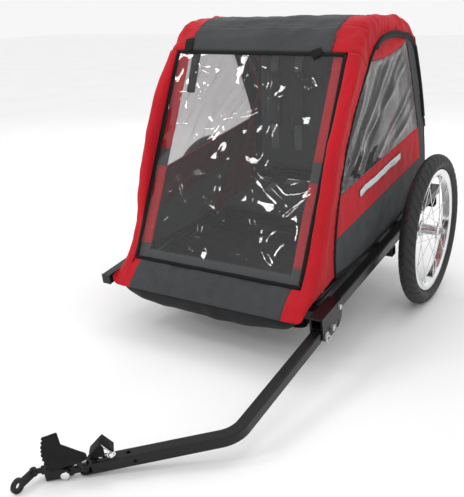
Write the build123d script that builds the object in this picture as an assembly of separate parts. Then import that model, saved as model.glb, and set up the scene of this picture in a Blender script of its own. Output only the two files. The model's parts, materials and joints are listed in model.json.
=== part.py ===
from build123d import *
import os
from math import asin, atan2, cos, degrees, hypot, radians, sin

# ---------------------------------------------------------------- driving dimensions, mm
# The trailer is drawn level, with its origin midway between the wheels on the wheel axis:
# +X to the trailer's left, -Y forwards, +Z up. place_on_floor then tips it onto its coupler.
WHEEL_RADIUS = 200.0          # 16 inch wheel
WHEEL_X = 350.0               # mid-plane of each wheel
TYRE_WIDTH = 42.0
TYRE_WALL = 3.5
RIM_RADIUS = 161.0            # top of the rim's flanges
RIM_WIDTH = 26.0
RIM_WALL = 2.0
HUB_HALF = 28.0
FLANGE_RADIUS = 22.0
SPOKES_PER_FLANGE = 10
AXLE_RADIUS = 6.0
RUNNING_GAP = 0.05

TUBE = 25.0                   # square frame tube
TUBE_WALL = 1.6
RAIL_X = 289.5                # centre of each side rail
RAIL_Z = 19.5
RAIL_FRONT_Y = -569.0
RAIL_REAR_Y = 238.0
CROSSBAR_Z = -5.5
CROSSBAR_YS = (-140.0, 0.0, 196.0)
FRONT_BAR_Y = -525.0

HOOP_TUBE = 22.0              # round tube of the folding hoops and the base ring
HOOP_WALL = 1.5
RING_X = 247.0
RING_FRONT_Y = -500.0
RING_REAR_Y = 214.0
RING_Z = 18.0
FRONT_PIVOT = (-470.0, 46.0)  # (y, z)
REAR_PIVOT = (216.0, 46.0)
FRONT_HOOP_X = 247.0
REAR_HOOP_X = 219.0
PIVOT_PIN_RADIUS = 4.0
PIN_LUG_X = 233.0             # mid-plane of the hinge lugs
FRONT_FOLD = 52.0             # degrees that each hoop folds; the two are linked
REAR_FOLD = 73.0

BODY_X = 262.0                # outside of the fabric sides
FABRIC = 3.0
WINDOW_X = 232.0              # edge of the front window
WINDOW_TOP = (-225.0, 513.0)
WINDOW_BOTTOM = (-516.0, 63.0)
VINYL = 1.0
BINDING = 9.0
TAPE_FRONT_Y = -258.0         # reflective tape on both sides
TAPE_REAR_Y = 16.0
TAPE_Z = 193.0
TAPE_HEIGHT = 21.0

BRACKET_PLATE = 3.0
BRACKET_BOLT = (-484.0, 21.0)
TOW_BAR = 24.0
TOW_PIVOT = (RAIL_X, -525.0, -7.5)
TOW_DROOP = 1.6               # degrees that the tow bar runs down below the rails
TOW_ELBOW = 379.0             # pivot to elbow
TOW_TURN = 49.5               # degrees that the bar turns inboard at the elbow
TOW_BEND_RADIUS = 60.0
TOW_END = 258.0               # elbow to the bar's open end
LOCK_PIN_Y = -31.0            # from the tow pivot
LOCK_SLOT = 4.7               # half the width of the slots that the lock pin swings through
HITCH_PIN_S = 223.0           # distances along the tow line from the elbow
YAW_S = 271.0
PITCH_S = 307.0
NECK_S = 360.0
NECK_H = 11.0
EYE_REACH = 38.0
EYE_RISE = 2.0
EYE_RADIUS = 14.0
EYE_HOLE_RADIUS = 5.5
EYE_PLATE = 5.0


# ---------------------------------------------------------------- placing
ARM = Pos(*TOW_PIVOT) * Rot(TOW_DROOP, 0, 0)
HITCH = ARM * Pos(0, -TOW_ELBOW, 0) * Rot(0, 0, -90 - TOW_TURN)
EYE = HITCH * Pos(NECK_S, 0, NECK_H) * Rot(0, 0, TOW_TURN)


def stance_angle():
    """Nose-down tip at which the wheels and the coupler's eye all touch the floor."""
    eye = (EYE * Pos(EYE_REACH, 0, EYE_RISE)).position
    reach = hypot(eye.Y, eye.Z)
    return degrees(asin((WHEEL_RADIUS - EYE_RADIUS) / reach) + atan2(eye.Z, -eye.Y))


STANCE = Pos(0, 0, WHEEL_RADIUS) * Rot(stance_angle(), 0, 0)
parts = {}


def add(name, *solids):
    parts[name] = solids[0] if len(solids) == 1 else Compound(children=list(solids))


# ---------------------------------------------------------------- shared shapes
def rod_x(radius, x0, x1, y=0.0, z=0.0):
    """A cylinder along X."""
    return Pos((x0 + x1) / 2, y, z) * Rot(0, 90, 0) * Cylinder(radius, abs(x1 - x0))


def block(x0, x1, y0, y1, z0, z1):
    return Pos((x0 + x1) / 2, (y0 + y1) / 2, (z0 + z1) / 2) * Box(abs(x1 - x0), abs(y1 - y0), abs(z1 - z0))


def square_tube_section(width, wall, corner=3.0):
    return RectangleRounded(width, width, corner) - RectangleRounded(width - 2 * wall, width - 2 * wall,
                                                                     corner - wall)


def side_face(edges):
    """A face in the YZ plane from edges drawn as (y, z)."""
    return Plane.YZ * make_face(edges)


def slab(edges, x0, x1):
    """A profile drawn as (y, z) edges, from x0 to x1."""
    return Pos(min(x0, x1), 0, 0) * extrude(side_face(edges), abs(x1 - x0), dir=(1, 0, 0))


def both_sides(shape):
    return [shape, mirror(shape, Plane.YZ)]


# ---------------------------------------------------------------- fabric outline
def pillar_front(inset=0.0):
    return ThreePointArc((-485 + inset, 66), (-378 + inset * 0.86, 323 - inset * 0.5),
                         (WINDOW_TOP[0] + inset * 0.6, WINDOW_TOP[1] - inset * 0.8))


def roof_edge(inset=0.0):
    """Three arcs: the header, the crown over the front hoop, and the slope to the back."""
    top = pillar_front(inset) @ 1
    header = ThreePointArc(top, (-197 + inset * 0.5, 540 - inset * 0.9), (-165 + inset * 0.4, 561 - inset))
    crown = ThreePointArc(header @ 1, (-134, 571 - inset), (-100, 573 - inset))
    slope = ThreePointArc(crown @ 1, (0, 557 - inset), (93, 531 - inset))
    return [header, crown, slope]


def pillar_rear(inset=0.0):
    start = roof_edge(inset)[-1] @ 1
    corner = ThreePointArc(start, (122 - inset * 0.7, 512 - inset * 0.7), (139 - inset, 478))
    return [corner, ThreePointArc(corner @ 1, (193 - inset, 320), (233 - inset, 112))]


def side_outline():
    """The cabin's side, as (y, z)."""
    upper = [pillar_front()] + roof_edge() + pillar_rear()
    tail = upper[-1] @ 1
    lower = [Line(tail, (237, 8)), Line((237, 8), (-556, 8)), Line((-556, 8), upper[0] @ 0)]
    return upper + lower


def window_outline(grow=0.0):
    """The clear side window, as (y, z)."""
    front = ThreePointArc((-391 - grow, 227 - grow), (-320 - grow, 345), (-215 - grow, 466 + grow))
    rear_top = (62 + grow, 466 + grow)
    rear_foot = (160 + grow, 227 - grow)
    rear = ThreePointArc(rear_top, (122 + grow, 345), rear_foot)
    return [front, Line(front @ 1, rear_top), rear, Line(rear_foot, front @ 0)]


# ---------------------------------------------------------------- chassis
def make_frame():
    rail = Pos(RAIL_X, RAIL_REAR_Y, RAIL_Z) * Rot(90, 0, 0) * extrude(
        square_tube_section(TUBE, TUBE_WALL), RAIL_REAR_Y - RAIL_FRONT_Y)
    left, right = both_sides(rail)
    left -= rod_x(4.05, RAIL_X - TUBE, RAIL_X + TUBE, BRACKET_BOLT[0], BRACKET_BOLT[1])
    add("side_rail_left", left)
    add("side_rail_right", right)

    cap = Box(TUBE, 3, TUBE) + Pos(0, 6, 0) * Box(TUBE - 4, 10, TUBE - 4)
    cap = fillet(cap.edges().group_by(Axis.Y)[0], 1.0)
    caps = [Pos(x, RAIL_REAR_Y + 1.5, RAIL_Z) * Rot(0, 0, 180) * cap for x in (-RAIL_X, RAIL_X)]
    caps.append(Pos(-RAIL_X, RAIL_FRONT_Y - 1.5, RAIL_Z) * cap)
    add("rail_end_caps", *caps)

    bars = []
    for y in CROSSBAR_YS:
        reach = RAIL_X + TUBE / 2 if y else RAIL_X - 18.0
        bars.append(Pos(-reach, y, CROSSBAR_Z) * Rot(0, 90, 0) * extrude(
            square_tube_section(TUBE, TUBE_WALL), 2 * reach))
    add("axle_crossbar", bars[CROSSBAR_YS.index(0.0)])
    inner_face = RAIL_X - TUBE / 2
    front_bar = Pos(-inner_face, FRONT_BAR_Y, RAIL_Z) * Rot(0, 90, 0) * extrude(
        square_tube_section(TUBE, TUBE_WALL), 2 * inner_face - BRACKET_PLATE)
    add("floor_crossbars", front_bar, *[bar for y, bar in zip(CROSSBAR_YS, bars) if y])

    add("cabin_base_ring", ring_solid(Circle(HOOP_TUBE / 2) - Circle(HOOP_TUBE / 2 - HOOP_WALL)))


def ring_solid(section):
    """A section carried round the cabin's base."""
    route = FilletPolyline((-RING_X, RING_FRONT_Y), (RING_X, RING_FRONT_Y), (RING_X, RING_REAR_Y),
                           (-RING_X, RING_REAR_Y), radius=40, close=True)
    return Pos(0, 0, RING_Z) * sweep(Plane(origin=route @ 0, z_dir=route % 0) * section, path=route)


def make_axles():
    bracket = block(RAIL_X - 17.5, RAIL_X + 15, -32, 32, -16, RAIL_Z - TUBE / 2)
    bracket = fillet(bracket.edges().filter_by(Axis.X).group_by(Axis.Z)[0], 12)
    bracket -= rod_x(AXLE_RADIUS, RAIL_X - 16, RAIL_X + 20)
    add("axle_brackets", *both_sides(bracket))
    inner = RAIL_X - 16
    shaft = rod_x(AXLE_RADIUS, inner, WHEEL_X + HUB_HALF + 10)
    shaft += rod_x(9, RAIL_X + 15, WHEEL_X - HUB_HALF - 0.5)
    add("stub_axles", *both_sides(shaft))
    nut_x = WHEEL_X + HUB_HALF + 0.5
    nut = Pos(nut_x, 0, 0) * Rot(0, 90, 0) * extrude(RegularPolygon(9, 6), 7)
    nut -= rod_x(AXLE_RADIUS, nut_x - 1, nut_x + 9)
    add("axle_nuts", *both_sides(nut))


def bolt_x(radius, x0, x1, y, z, head=6.5, thick=4.5):
    """A hex-headed bolt along X with its head at x1 and its nut at x0."""
    bolt = rod_x(radius, x0, x1, y, z)
    bolt += Pos(x1, y, z) * Rot(0, 90, 0) * extrude(RegularPolygon(head, 6), thick)
    return bolt + Pos(x0 - thick, y, z) * Rot(0, 90, 0) * extrude(RegularPolygon(head, 6), thick)


def make_tow_bracket():
    outer = RAIL_X + TUBE / 2
    inner = RAIL_X - TUBE / 2
    plate = BRACKET_PLATE
    top = RAIL_Z + TUBE / 2
    tip = (RAIL_FRONT_Y, -12.0)
    profile = [Line((-470, top + plate), (RAIL_FRONT_Y, top + plate)), Line((RAIL_FRONT_Y, top + plate), tip),
               ThreePointArc(tip, (-560, -24), (-545, -26)), Line((-545, -26), (-505, -26)),
               ThreePointArc((-505, -26), (-480, -17), (-470, 5)), Line((-470, 5), (-470, top + plate))]
    bracket = slab(profile, outer, outer + plate) + slab(profile, inner - plate, inner)
    bracket += block(inner, outer, -470, RAIL_FRONT_Y, top, top + plate)
    pivot_y, pivot_z = TOW_PIVOT[1:]
    lock = ARM * Pos(0, LOCK_PIN_Y, 0)
    bracket -= rod_x(5, inner - 5, outer + 5, pivot_y, pivot_z)
    bracket -= rod_x(4, inner - 5, outer + 5, *BRACKET_BOLT)
    lock_y, lock_z = lock.position.Y, lock.position.Z
    slot = rod_x(-LOCK_PIN_Y + LOCK_SLOT, inner - 5, outer + 5, pivot_y, pivot_z)
    slot -= rod_x(-LOCK_PIN_Y - LOCK_SLOT, inner - 6, outer + 6, pivot_y, pivot_z)
    slot &= block(inner - 5, outer + 5, pivot_y - 50, pivot_y + 50, pivot_z - 50, lock_z)
    bracket -= slot + rod_x(LOCK_SLOT, inner - 5, outer + 5, lock_y, lock_z)
    add("tow_bracket", bracket)
    add("tow_bracket_bolts", bolt_x(5, inner - plate, outer + plate, pivot_y, pivot_z, 8.5, 6),
        bolt_x(4, inner - plate, outer + plate, *BRACKET_BOLT))


def make_hinges():
    lugs = []
    pins = []
    coping = ring_solid(Circle(HOOP_TUBE / 2 + RUNNING_GAP))
    for (y, z), x_hoop in ((FRONT_PIVOT, FRONT_HOOP_X), (REAR_PIVOT, REAR_HOOP_X)):
        lug = block(PIN_LUG_X - 2, PIN_LUG_X + 2, y - 14, y + 14, RING_Z - 10, z + 12)
        lug = fillet(lug.edges().filter_by(Axis.X).group_by(Axis.Z)[-1], 11)
        lug += block(PIN_LUG_X - 2, RING_X - HOOP_TUBE / 2, y - 14, y + 14, RING_Z - 10, RING_Z + 8)
        lug -= rod_x(PIVOT_PIN_RADIUS, PIN_LUG_X - 9, PIN_LUG_X + 9, y, z) + coping
        lugs += both_sides(lug)
        far = x_hoop + (HOOP_TUBE / 2 + 0.3 if x_hoop > PIN_LUG_X else -HOOP_TUBE / 2 - 0.3)
        near = PIN_LUG_X - 2 if x_hoop > PIN_LUG_X else PIN_LUG_X + 2
        step = 2.5 if far > near else -2.5
        pin = rod_x(PIVOT_PIN_RADIUS, near, far, y, z) + rod_x(6, near - step, near, y, z)
        pin += rod_x(6, far, far + step, y, z)
        pins += both_sides(pin)
    add("hoop_hinge_lugs", *lugs)
    add("hoop_hinge_pins", *pins)


# ---------------------------------------------------------------- wheels
def tyre_solid():
    half = TYRE_WIDTH / 2
    centre = WHEEL_RADIUS - half
    inner = half - TYRE_WALL
    lip = RIM_WIDTH / 2 - RIM_WALL - 0.3
    bead = RIM_RADIUS - 5.5
    crown = ThreePointArc((-half, centre), (0, WHEEL_RADIUS), (half, centre))
    wall = ThreePointArc((half, centre), (half - 2.5, centre - 12), (lip, RIM_RADIUS))
    lining = ThreePointArc((-inner, centre), (0, centre + inner), (inner, centre))
    inside = ThreePointArc((inner, centre), (inner - 2.0, centre - 10.5), (lip - 3.5, RIM_RADIUS))
    left_wall = ThreePointArc((-half, centre), (2.5 - half, centre - 12), (-lip, RIM_RADIUS))
    left_inside = ThreePointArc((-inner, centre), (2.0 - inner, centre - 10.5), (3.5 - lip, RIM_RADIUS))
    profile = make_face([crown, wall, Line((lip, RIM_RADIUS), (lip, bead)), Line((lip, bead), (lip - 3.5, bead)),
                         Line((lip - 3.5, bead), (lip - 3.5, RIM_RADIUS)), inside, lining, left_inside,
                         Line((3.5 - lip, RIM_RADIUS), (3.5 - lip, bead)), Line((3.5 - lip, bead), (-lip, bead)),
                         Line((-lip, bead), (-lip, RIM_RADIUS)), left_wall])
    return revolve(profile, Axis.X)


def rim_solid():
    half = RIM_WIDTH / 2
    outer = [(-half, RIM_RADIUS), (-half, 151), (-9, 144), (9, 144), (half, 151), (half, RIM_RADIUS)]
    lining = [(half - RIM_WALL, RIM_RADIUS), (half - RIM_WALL, 152), (8, 146), (-8, 146),
              (RIM_WALL - half, 152), (RIM_WALL - half, RIM_RADIUS)]
    return revolve(make_face(Polyline(*outer, *lining, close=True)), Axis.X)


def hub_solid():
    barrel = rod_x(13, -HUB_HALF, HUB_HALF)
    for side in (-1, 1):
        barrel += rod_x(FLANGE_RADIUS, side * (HUB_HALF - 3), side * (HUB_HALF - 6))
    barrel -= rod_x(8.5, -HUB_HALF, HUB_HALF)
    for side in (-1, 1):
        barrel -= rod_x(10.5, side * (HUB_HALF - 7), side * (HUB_HALF + 1))
    return barrel


def bearing_solid(side):
    ring = rod_x(10.45, side * (HUB_HALF - 7), side * HUB_HALF)
    return ring - rod_x(AXLE_RADIUS + RUNNING_GAP, side * (HUB_HALF - 8), side * (HUB_HALF + 1))


def spoke_solids():
    """Crossed spokes: alternate spokes lead and trail by 72 degrees, with the valve midway between two."""
    spokes = []
    pitch = 360 / SPOKES_PER_FLANGE
    for side in (-1, 1):
        for index in range(SPOKES_PER_FLANGE):
            at_hub = radians(index * pitch + (pitch / 2 if side > 0 else 0) + pitch / 4)
            at_rim = at_hub + radians(72 if index % 2 else -72)
            start = Vector(side * (HUB_HALF - 7.1), 18 * cos(at_hub), 18 * sin(at_hub))
            end = Vector(side * 3, 143.2 * cos(at_rim), 143.2 * sin(at_rim))
            line = end - start
            plane = Plane(origin=start, z_dir=line)
            spoke = plane * Pos(0, 0, line.length / 2) * Cylinder(1.0, line.length)
            spoke += plane * Pos(0, 0, line.length - 6) * Cylinder(2.0, 11)
            spokes.append(spoke)
    return spokes


def make_wheels():
    tyre = tyre_solid()
    rim = rim_solid() - Pos(0, 0, 150) * Cylinder(3.3, 30)
    tube = revolve(Pos(0, WHEEL_RADIUS - TYRE_WIDTH / 2 - 1) * Circle(TYRE_WIDTH / 2 - TYRE_WALL - 1.5), Axis.X)
    tube += Pos(0, 0, 142) * Cylinder(3, 46) + Pos(0, 0, 122) * Cylinder(4, 12)
    for name, side in (("left", 1), ("right", -1)):
        at = Pos(side * WHEEL_X, 0, 0)
        add(f"tyre_{name}", at * tyre)
        add(f"inner_tube_{name}", at * tube)
        add(f"rim_{name}", at * rim)
        add(f"hub_{name}", at * hub_solid())
        add(f"hub_bearings_{name}", at * bearing_solid(-1), at * bearing_solid(1))
        add(f"spokes_{name}", *[at * spoke for spoke in spoke_solids()])


# ---------------------------------------------------------------- folding hoops
def hoop_solid(side_x, pivot, middle, top, corner=55.0):
    """A U-shaped tube: two curved legs in planes of constant X, joined by a straight crossbar."""
    leg = Pos(side_x, 0, 0) * ThreePointArc((0, *pivot), (0, *middle), (0, *top))
    foot = Line((leg @ 0) - (leg % 0) * (HOOP_TUBE / 2), leg @ 0)
    lean = leg % 1
    centre = leg @ 1 - Vector(corner, 0, 0)
    bend_middle = centre + (Vector(1, 0, 0) + lean) * (corner * cos(radians(45)))
    bend = ThreePointArc(leg @ 1, bend_middle, centre + lean * corner)
    bar = Line(bend @ 1, bend @ 1 - Vector((bend @ 1).X, 0, 0))
    section = Circle(HOOP_TUBE / 2) - Circle(HOOP_TUBE / 2 - HOOP_WALL)
    half_hoop = sweep(Plane(origin=foot @ 0, z_dir=foot % 0) * section, path=Wire([foot, leg, bend, bar]))
    hoop = half_hoop + mirror(half_hoop, Plane.YZ)
    return hoop - rod_x(PIVOT_PIN_RADIUS + RUNNING_GAP, -side_x - 20, side_x + 20, *pivot)


def make_front_hoop():
    add("front_hoop", hoop_solid(FRONT_HOOP_X, FRONT_PIVOT, (-364, 315), (-212, 501)))
    strip = [pillar_front(), Line(pillar_front() @ 1, pillar_front(FABRIC) @ 1), pillar_front(FABRIC),
             Line(pillar_front(FABRIC) @ 0, pillar_front() @ 0)]
    left, right = both_sides(slab(strip, WINDOW_X + 6, BODY_X - FABRIC - 0.5))
    add("door_pillar_left", left)
    add("door_pillar_right", right)
    outer = roof_edge()[0]
    inner = roof_edge(FABRIC)[0]
    header = [outer, Line(outer @ 1, inner @ 1), inner, Line(inner @ 0, outer @ 0)]
    add("front_header", slab(header, -BODY_X + FABRIC + 0.5, BODY_X - FABRIC - 0.5))


def make_front_cover():
    """The clear front window and the bound edge that it hangs by."""
    run = Vector(0, *WINDOW_BOTTOM) - Vector(0, *WINDOW_TOP)
    plane = Plane(origin=(0, *WINDOW_TOP), x_dir=(1, 0, 0), z_dir=run.cross(Vector(1, 0, 0)))
    length = run.length
    height = length - 14
    centre = Pos(0, -height / 2 - 14, 0) if (plane.y_dir.dot(run) < 0) else Pos(0, height / 2 + 14, 0)
    outside = centre * Rectangle(2 * WINDOW_X, height)
    inside = centre * Rectangle(2 * (WINDOW_X - BINDING), height - 2 * BINDING)
    add("front_window", plane * extrude(inside, VINYL / 2, both=True))
    add("front_window_binding", plane * extrude(outside - inside, 1.5, both=True))


def make_rear():
    add("rear_hoop", hoop_solid(REAR_HOOP_X, REAR_PIVOT, (178, 280), (105, 440)))
    outer = pillar_rear()[1]
    inner = pillar_rear(FABRIC)[1]
    foot = Line(outer @ 1, (237, 8))
    inner_foot = Line((237 - FABRIC, 8), inner @ 1)
    panel = [outer, foot, Line(foot @ 1, inner_foot @ 0), inner_foot, inner, Line(inner @ 0, outer @ 0)]
    add("rear_panel", slab(panel, -REAR_HOOP_X - 10, REAR_HOOP_X + 10))


# ---------------------------------------------------------------- fabric cabin and seat
def make_cabin():
    side = slab(side_outline(), BODY_X - FABRIC, BODY_X)
    opening = slab(window_outline(), BODY_X - 2 * FABRIC, BODY_X + FABRIC)
    reach = TUBE / 2 + 0.5
    slit = block(BODY_X - 9, BODY_X + 9, -570, FRONT_BAR_Y + reach, 0, RAIL_Z + reach)
    eyelet = rod_x(7, BODY_X - 9, BODY_X + 9, *FRONT_PIVOT)
    left, right = both_sides(side - opening - slit - eyelet)
    add("side_panel_left", left)
    add("side_panel_right", right)
    pane = BODY_X - FABRIC / 2
    left, right = both_sides(slab(window_outline(-0.2), pane - VINYL / 2, pane + VINYL / 2))
    add("side_window_left", left)
    add("side_window_right", right)
    tape = block(BODY_X + 0.1, BODY_X + 1.1, TAPE_FRONT_Y, TAPE_REAR_Y, TAPE_Z - TAPE_HEIGHT / 2, TAPE_Z + TAPE_HEIGHT / 2)
    add("reflective_strips", *both_sides(tape))

    outside = roof_edge()[1:] + pillar_rear()[:1]
    inside = roof_edge(FABRIC)[1:] + pillar_rear(FABRIC)[:1]
    roof = outside + inside
    roof += [Line(outside[-1] @ 1, inside[-1] @ 1), Line(inside[0] @ 0, outside[0] @ 0)]
    add("roof_panel", slab(roof, -BODY_X + FABRIC + 0.5, BODY_X - FABRIC - 0.5))

    lip = (WINDOW_BOTTOM[0] - 1, WINDOW_BOTTOM[1] - 4)
    apron = [ThreePointArc(lip, (-554, 44), (-578, 16)), ThreePointArc((-578, 16), (-570, -14), (-536, -26)),
             Line((-536, -26), (-536, -22)), ThreePointArc((-536, -22), (-567, -11), (-574, 16)),
             ThreePointArc((-574, 16), (-551, 42), (lip[0] + 4, lip[1])), Line((lip[0] + 4, lip[1]), lip)]
    add("front_apron", slab(apron, -BODY_X + FABRIC + 0.5, BODY_X - FABRIC - 0.5))
    floor_side = BODY_X - FABRIC - 0.5
    add("floor_panel", block(-floor_side, floor_side, -535.5, 236, -26, -22))


def make_seat():
    base = block(-205, 205, -150, 55, 40, 80)
    add("seat_base", fillet(base.edges(), 14))
    back = Pos(0, 62, 92) * Rot(-8, 0, 0) * block(-205, 205, 0, 34, 0, 350)
    add("seat_back", fillet(back.edges(), 12))
    straps = []
    pads = []
    buckles = []
    on_back = Pos(0, 62, 92) * Rot(-8, 0, 0)
    for seat_x in (-102, 102):
        for strap_x in (-38, 38):
            straps.append(on_back * block(seat_x + strap_x - 12, seat_x + strap_x + 12, -3.0, -1.0, 70, 330))
            pads.append(on_back * block(seat_x + strap_x - 20, seat_x + strap_x + 20, -12, -3.5, 150, 290))
        straps.append(block(seat_x - 80, seat_x + 80, -5, 19, 81, 83))
        buckles.append(Pos(seat_x, 7, 89) * fillet(Box(44, 40, 11).edges(), 3))
    add("harness_straps", *straps)
    add("shoulder_pads", *pads)
    add("harness_buckles", *buckles)


# ---------------------------------------------------------------- tow arm and hitch
def along_y(radius, y0, y1, x=0.0, z=0.0):
    return Pos(x, (y0 + y1) / 2, z) * Rot(90, 0, 0) * Cylinder(radius, abs(y1 - y0))


def upright(radius, z0, z1, x=0.0, y=0.0):
    return Pos(x, y, (z0 + z1) / 2) * Cylinder(radius, abs(z1 - z0))


def make_tow_bar():
    turn = radians(TOW_TURN)
    end = Vector(-sin(turn) * TOW_END, -TOW_ELBOW - cos(turn) * TOW_END, 0)
    route = FilletPolyline((0, 0, 0), (0, -TOW_ELBOW, 0), end, radius=TOW_BEND_RADIUS)
    section = square_tube_section(TOW_BAR, 1.8)
    bar = sweep(Plane(origin=(0, 0, 0), x_dir=(1, 0, 0), z_dir=(0, -1, 0)) * section, path=route)
    stub = Rot(0, 90, 0) * Cylinder(TOW_BAR / 2, TOW_BAR) - Box(TOW_BAR - 3.6, 60, TOW_BAR - 3.6)
    bar += stub - block(-20, 20, -30, 0, -20, 20)
    bar -= rod_x(5 + RUNNING_GAP, -20, 20)
    bar -= rod_x(4 + RUNNING_GAP, -20, 20, LOCK_PIN_Y)
    along = Pos(0, -TOW_ELBOW, 0) * Rot(0, 0, -90 - TOW_TURN)
    bar -= along * upright(4, -20, 20, 193)
    bar -= along * along_y(3.5, -20, 20, 183)
    bar -= along * upright(4 + RUNNING_GAP, -20, 20, HITCH_PIN_S)
    add("tow_bar", ARM * bar)

    outer = TUBE / 2 + 3
    lock = rod_x(4, -outer - 5, outer + 1, LOCK_PIN_Y) + rod_x(7.5, outer + 0.5, outer + 4, LOCK_PIN_Y)
    ring = Pos(outer + 6, LOCK_PIN_Y, -8) * Rot(0, 90, 0) * Torus(8, 1.2)
    lock += rod_x(3, outer + 4, outer + 8, LOCK_PIN_Y) + ring
    add("tow_lock_pin", ARM * lock)


def make_hitch():
    inner = TOW_BAR - 2 * 1.8 - 0.5
    shank = block(205, TOW_END + 1, -inner / 2, inner / 2, -inner / 2, inner / 2)
    shank = fillet(shank.edges().filter_by(Axis.X), 2)
    fork = block(TOW_END + 0.2, TOW_END + 2.2, -TOW_BAR / 2, TOW_BAR / 2, -10.5, 10.5)
    for z0, z1 in ((6.5, 10.5), (-10.5, -6.5)):
        fork += block(TOW_END + 1, YAW_S, -12, 12, z0, z1) + upright(12, z0, z1, YAW_S)
    insert = shank + fork - upright(4 + RUNNING_GAP, -20, 20, HITCH_PIN_S) - upright(4, -20, 20, YAW_S)
    add("hitch_insert", HITCH * insert)

    top = TOW_BAR / 2
    pin = upright(4, -top - 4, top + 2, HITCH_PIN_S) + upright(8, top + 0.3, top + 3, HITCH_PIN_S)
    add("hitch_pin", HITCH * (pin + Pos(HITCH_PIN_S, 0, top + 3) * (Sphere(6) - Pos(0, 0, -6) * Box(14, 14, 12))))
    loop = FilletPolyline((HITCH_PIN_S + 7.4, 0, top + 5), (HITCH_PIN_S + 13, 4, top + 6),
                          (HITCH_PIN_S + 22, 8, top + 5), (HITCH_PIN_S + 20, -3, top + 14),
                          (HITCH_PIN_S + 10, -3, top + 17), (HITCH_PIN_S + 2, -1, top + 11), radius=3)
    clip = sweep(Plane(origin=loop @ 0, z_dir=loop % 0) * Circle(1.1), path=loop)
    add("hitch_pin_clip", HITCH * clip)

    bolt = upright(4, -10.5, 12, YAW_S) + upright(8, -14, -10.5, YAW_S)
    add("hitch_yaw_bolt", HITCH * (bolt + Pos(YAW_S, 0, 10.5) * extrude(RegularPolygon(7, 6), 6)))

    swivel = upright(10.5, -6.2, 6.2, YAW_S) + block(YAW_S, PITCH_S - 12, -6, 6, -6.2, 6.2)
    swivel += block(PITCH_S - 14, PITCH_S, -6, 6, -9, 9) + along_y(9, -6, 6, PITCH_S)
    swivel += block(YAW_S + 18, YAW_S + 22, -6, 6, 0, 19) + block(PITCH_S - 5, PITCH_S, -6, 6, 0, 19)
    swivel -= rod_s(3.5, YAW_S, PITCH_S + 5, 13.5)
    swivel -= upright(4 + RUNNING_GAP, -20, 20, YAW_S) + along_y(4 + RUNNING_GAP, -20, 20, PITCH_S)
    add("hitch_swivel", HITCH * swivel)
    tension = rod_s(3.5, YAW_S + 14, PITCH_S, 13.5) + hex_s(6, YAW_S + 13.5, YAW_S + 18, 13.5)
    add("hitch_tension_bolt", HITCH * (tension + rod_s(4.4, PITCH_S, PITCH_S + 4, 13.5)))

    yoke = []
    for side in (-1, 1):
        yoke.append(block(PITCH_S, PITCH_S + 26, side * 6.3, side * 10.3, -7, 12)
                    + along_y(10, side * 6.3, side * 10.3, PITCH_S))
    body = yoke[0] + yoke[1] + block(PITCH_S + 18, PITCH_S + 34, -10.3, 10.3, -7, 18)
    body -= along_y(4, -20, 20, PITCH_S)
    body -= rod_s(5 + RUNNING_GAP, PITCH_S + 10, PITCH_S + 40, NECK_H)
    add("hitch_yoke", HITCH * body)
    pitch_bolt = along_y(4, -10.3, 10.3, PITCH_S) + along_y(8, 10.3, 14, PITCH_S)
    pitch_bolt += Pos(PITCH_S, 14, 0) * scale(Sphere(8), (1, 0.35, 1))
    add("hitch_pitch_bolt", HITCH * (pitch_bolt + along_y(7.5, -16, -10.3, PITCH_S)))

    shaft = rod_s(5, PITCH_S + 15, NECK_S, NECK_H) + rod_s(6, PITCH_S + 13, PITCH_S + 17.7, NECK_H)
    shaft += rod_s(8, PITCH_S + 34.3, PITCH_S + 39, NECK_H)
    neck = Cylinder(6, 13)
    plate = block(0, EYE_REACH, -EYE_PLATE / 2, EYE_PLATE / 2, -8, 8)
    plate += Pos(EYE_REACH, 0, EYE_RISE) * along_y(EYE_RADIUS, -EYE_PLATE / 2, EYE_PLATE / 2)
    plate -= Pos(EYE_REACH, 0, EYE_RISE) * along_y(EYE_HOLE_RADIUS, -EYE_PLATE, EYE_PLATE)
    add("hitch_eye", HITCH * shaft + EYE * (plate + neck))


def rod_s(radius, s0, s1, h):
    """A cylinder along the tow line."""
    return Pos((s0 + s1) / 2, 0, h) * Rot(0, 90, 0) * Cylinder(radius, abs(s1 - s0))


def hex_s(radius, s0, s1, h):
    return Pos(s0, 0, h) * Rot(0, 90, 0) * extrude(RegularPolygon(radius, 6), s1 - s0)


def strap_band(points, width, thickness):
    """A flat strap whose middle follows points drawn as (along, up) beside the tow line."""
    route = Polyline(*points)
    band = offset(route, thickness / 2, side=Side.BOTH, kind=Kind.INTERSECTION)
    return Rot(90, 0, 0) * extrude(make_face(band), width / 2, both=True)


def make_straps():
    upper = strap_band([(334, 22), (334, 76), (316, 80), (306, 60), (277, 37)], 24, 3)
    add("safety_strap", HITCH * upper)
    tail = strap_band([(246, 13.6), (257, 25), (233, 56), (219, 32)], 22, 2.5)
    add("safety_strap_tail", HITCH * tail)


def build():
    make_frame()
    make_axles()
    make_tow_bracket()
    make_hinges()
    make_wheels()
    make_front_hoop()
    make_front_cover()
    make_rear()
    make_cabin()
    make_seat()
    make_tow_bar()
    make_hitch()
    make_straps()


def footprint_shift():
    """Moves the standing trailer so that the origin is the middle of its footprint."""
    boxes = [(STANCE * shape).bounding_box() for shape in parts.values()]
    middle = (min(box.min.Y for box in boxes) + max(box.max.Y for box in boxes)) / 2
    return Pos(0, -middle, 0)


build()
TO_ORIGIN = footprint_shift()
os.makedirs("parts", exist_ok=True)
for name, shape in parts.items():
    export_step(TO_ORIGIN * STANCE * shape, f"parts/{name}.step")
print(f"{len(parts)} nodes, {stance_angle():.4f} deg nose-down, wheel axis at y = {TO_ORIGIN.position.Y:.3f}")
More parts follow.
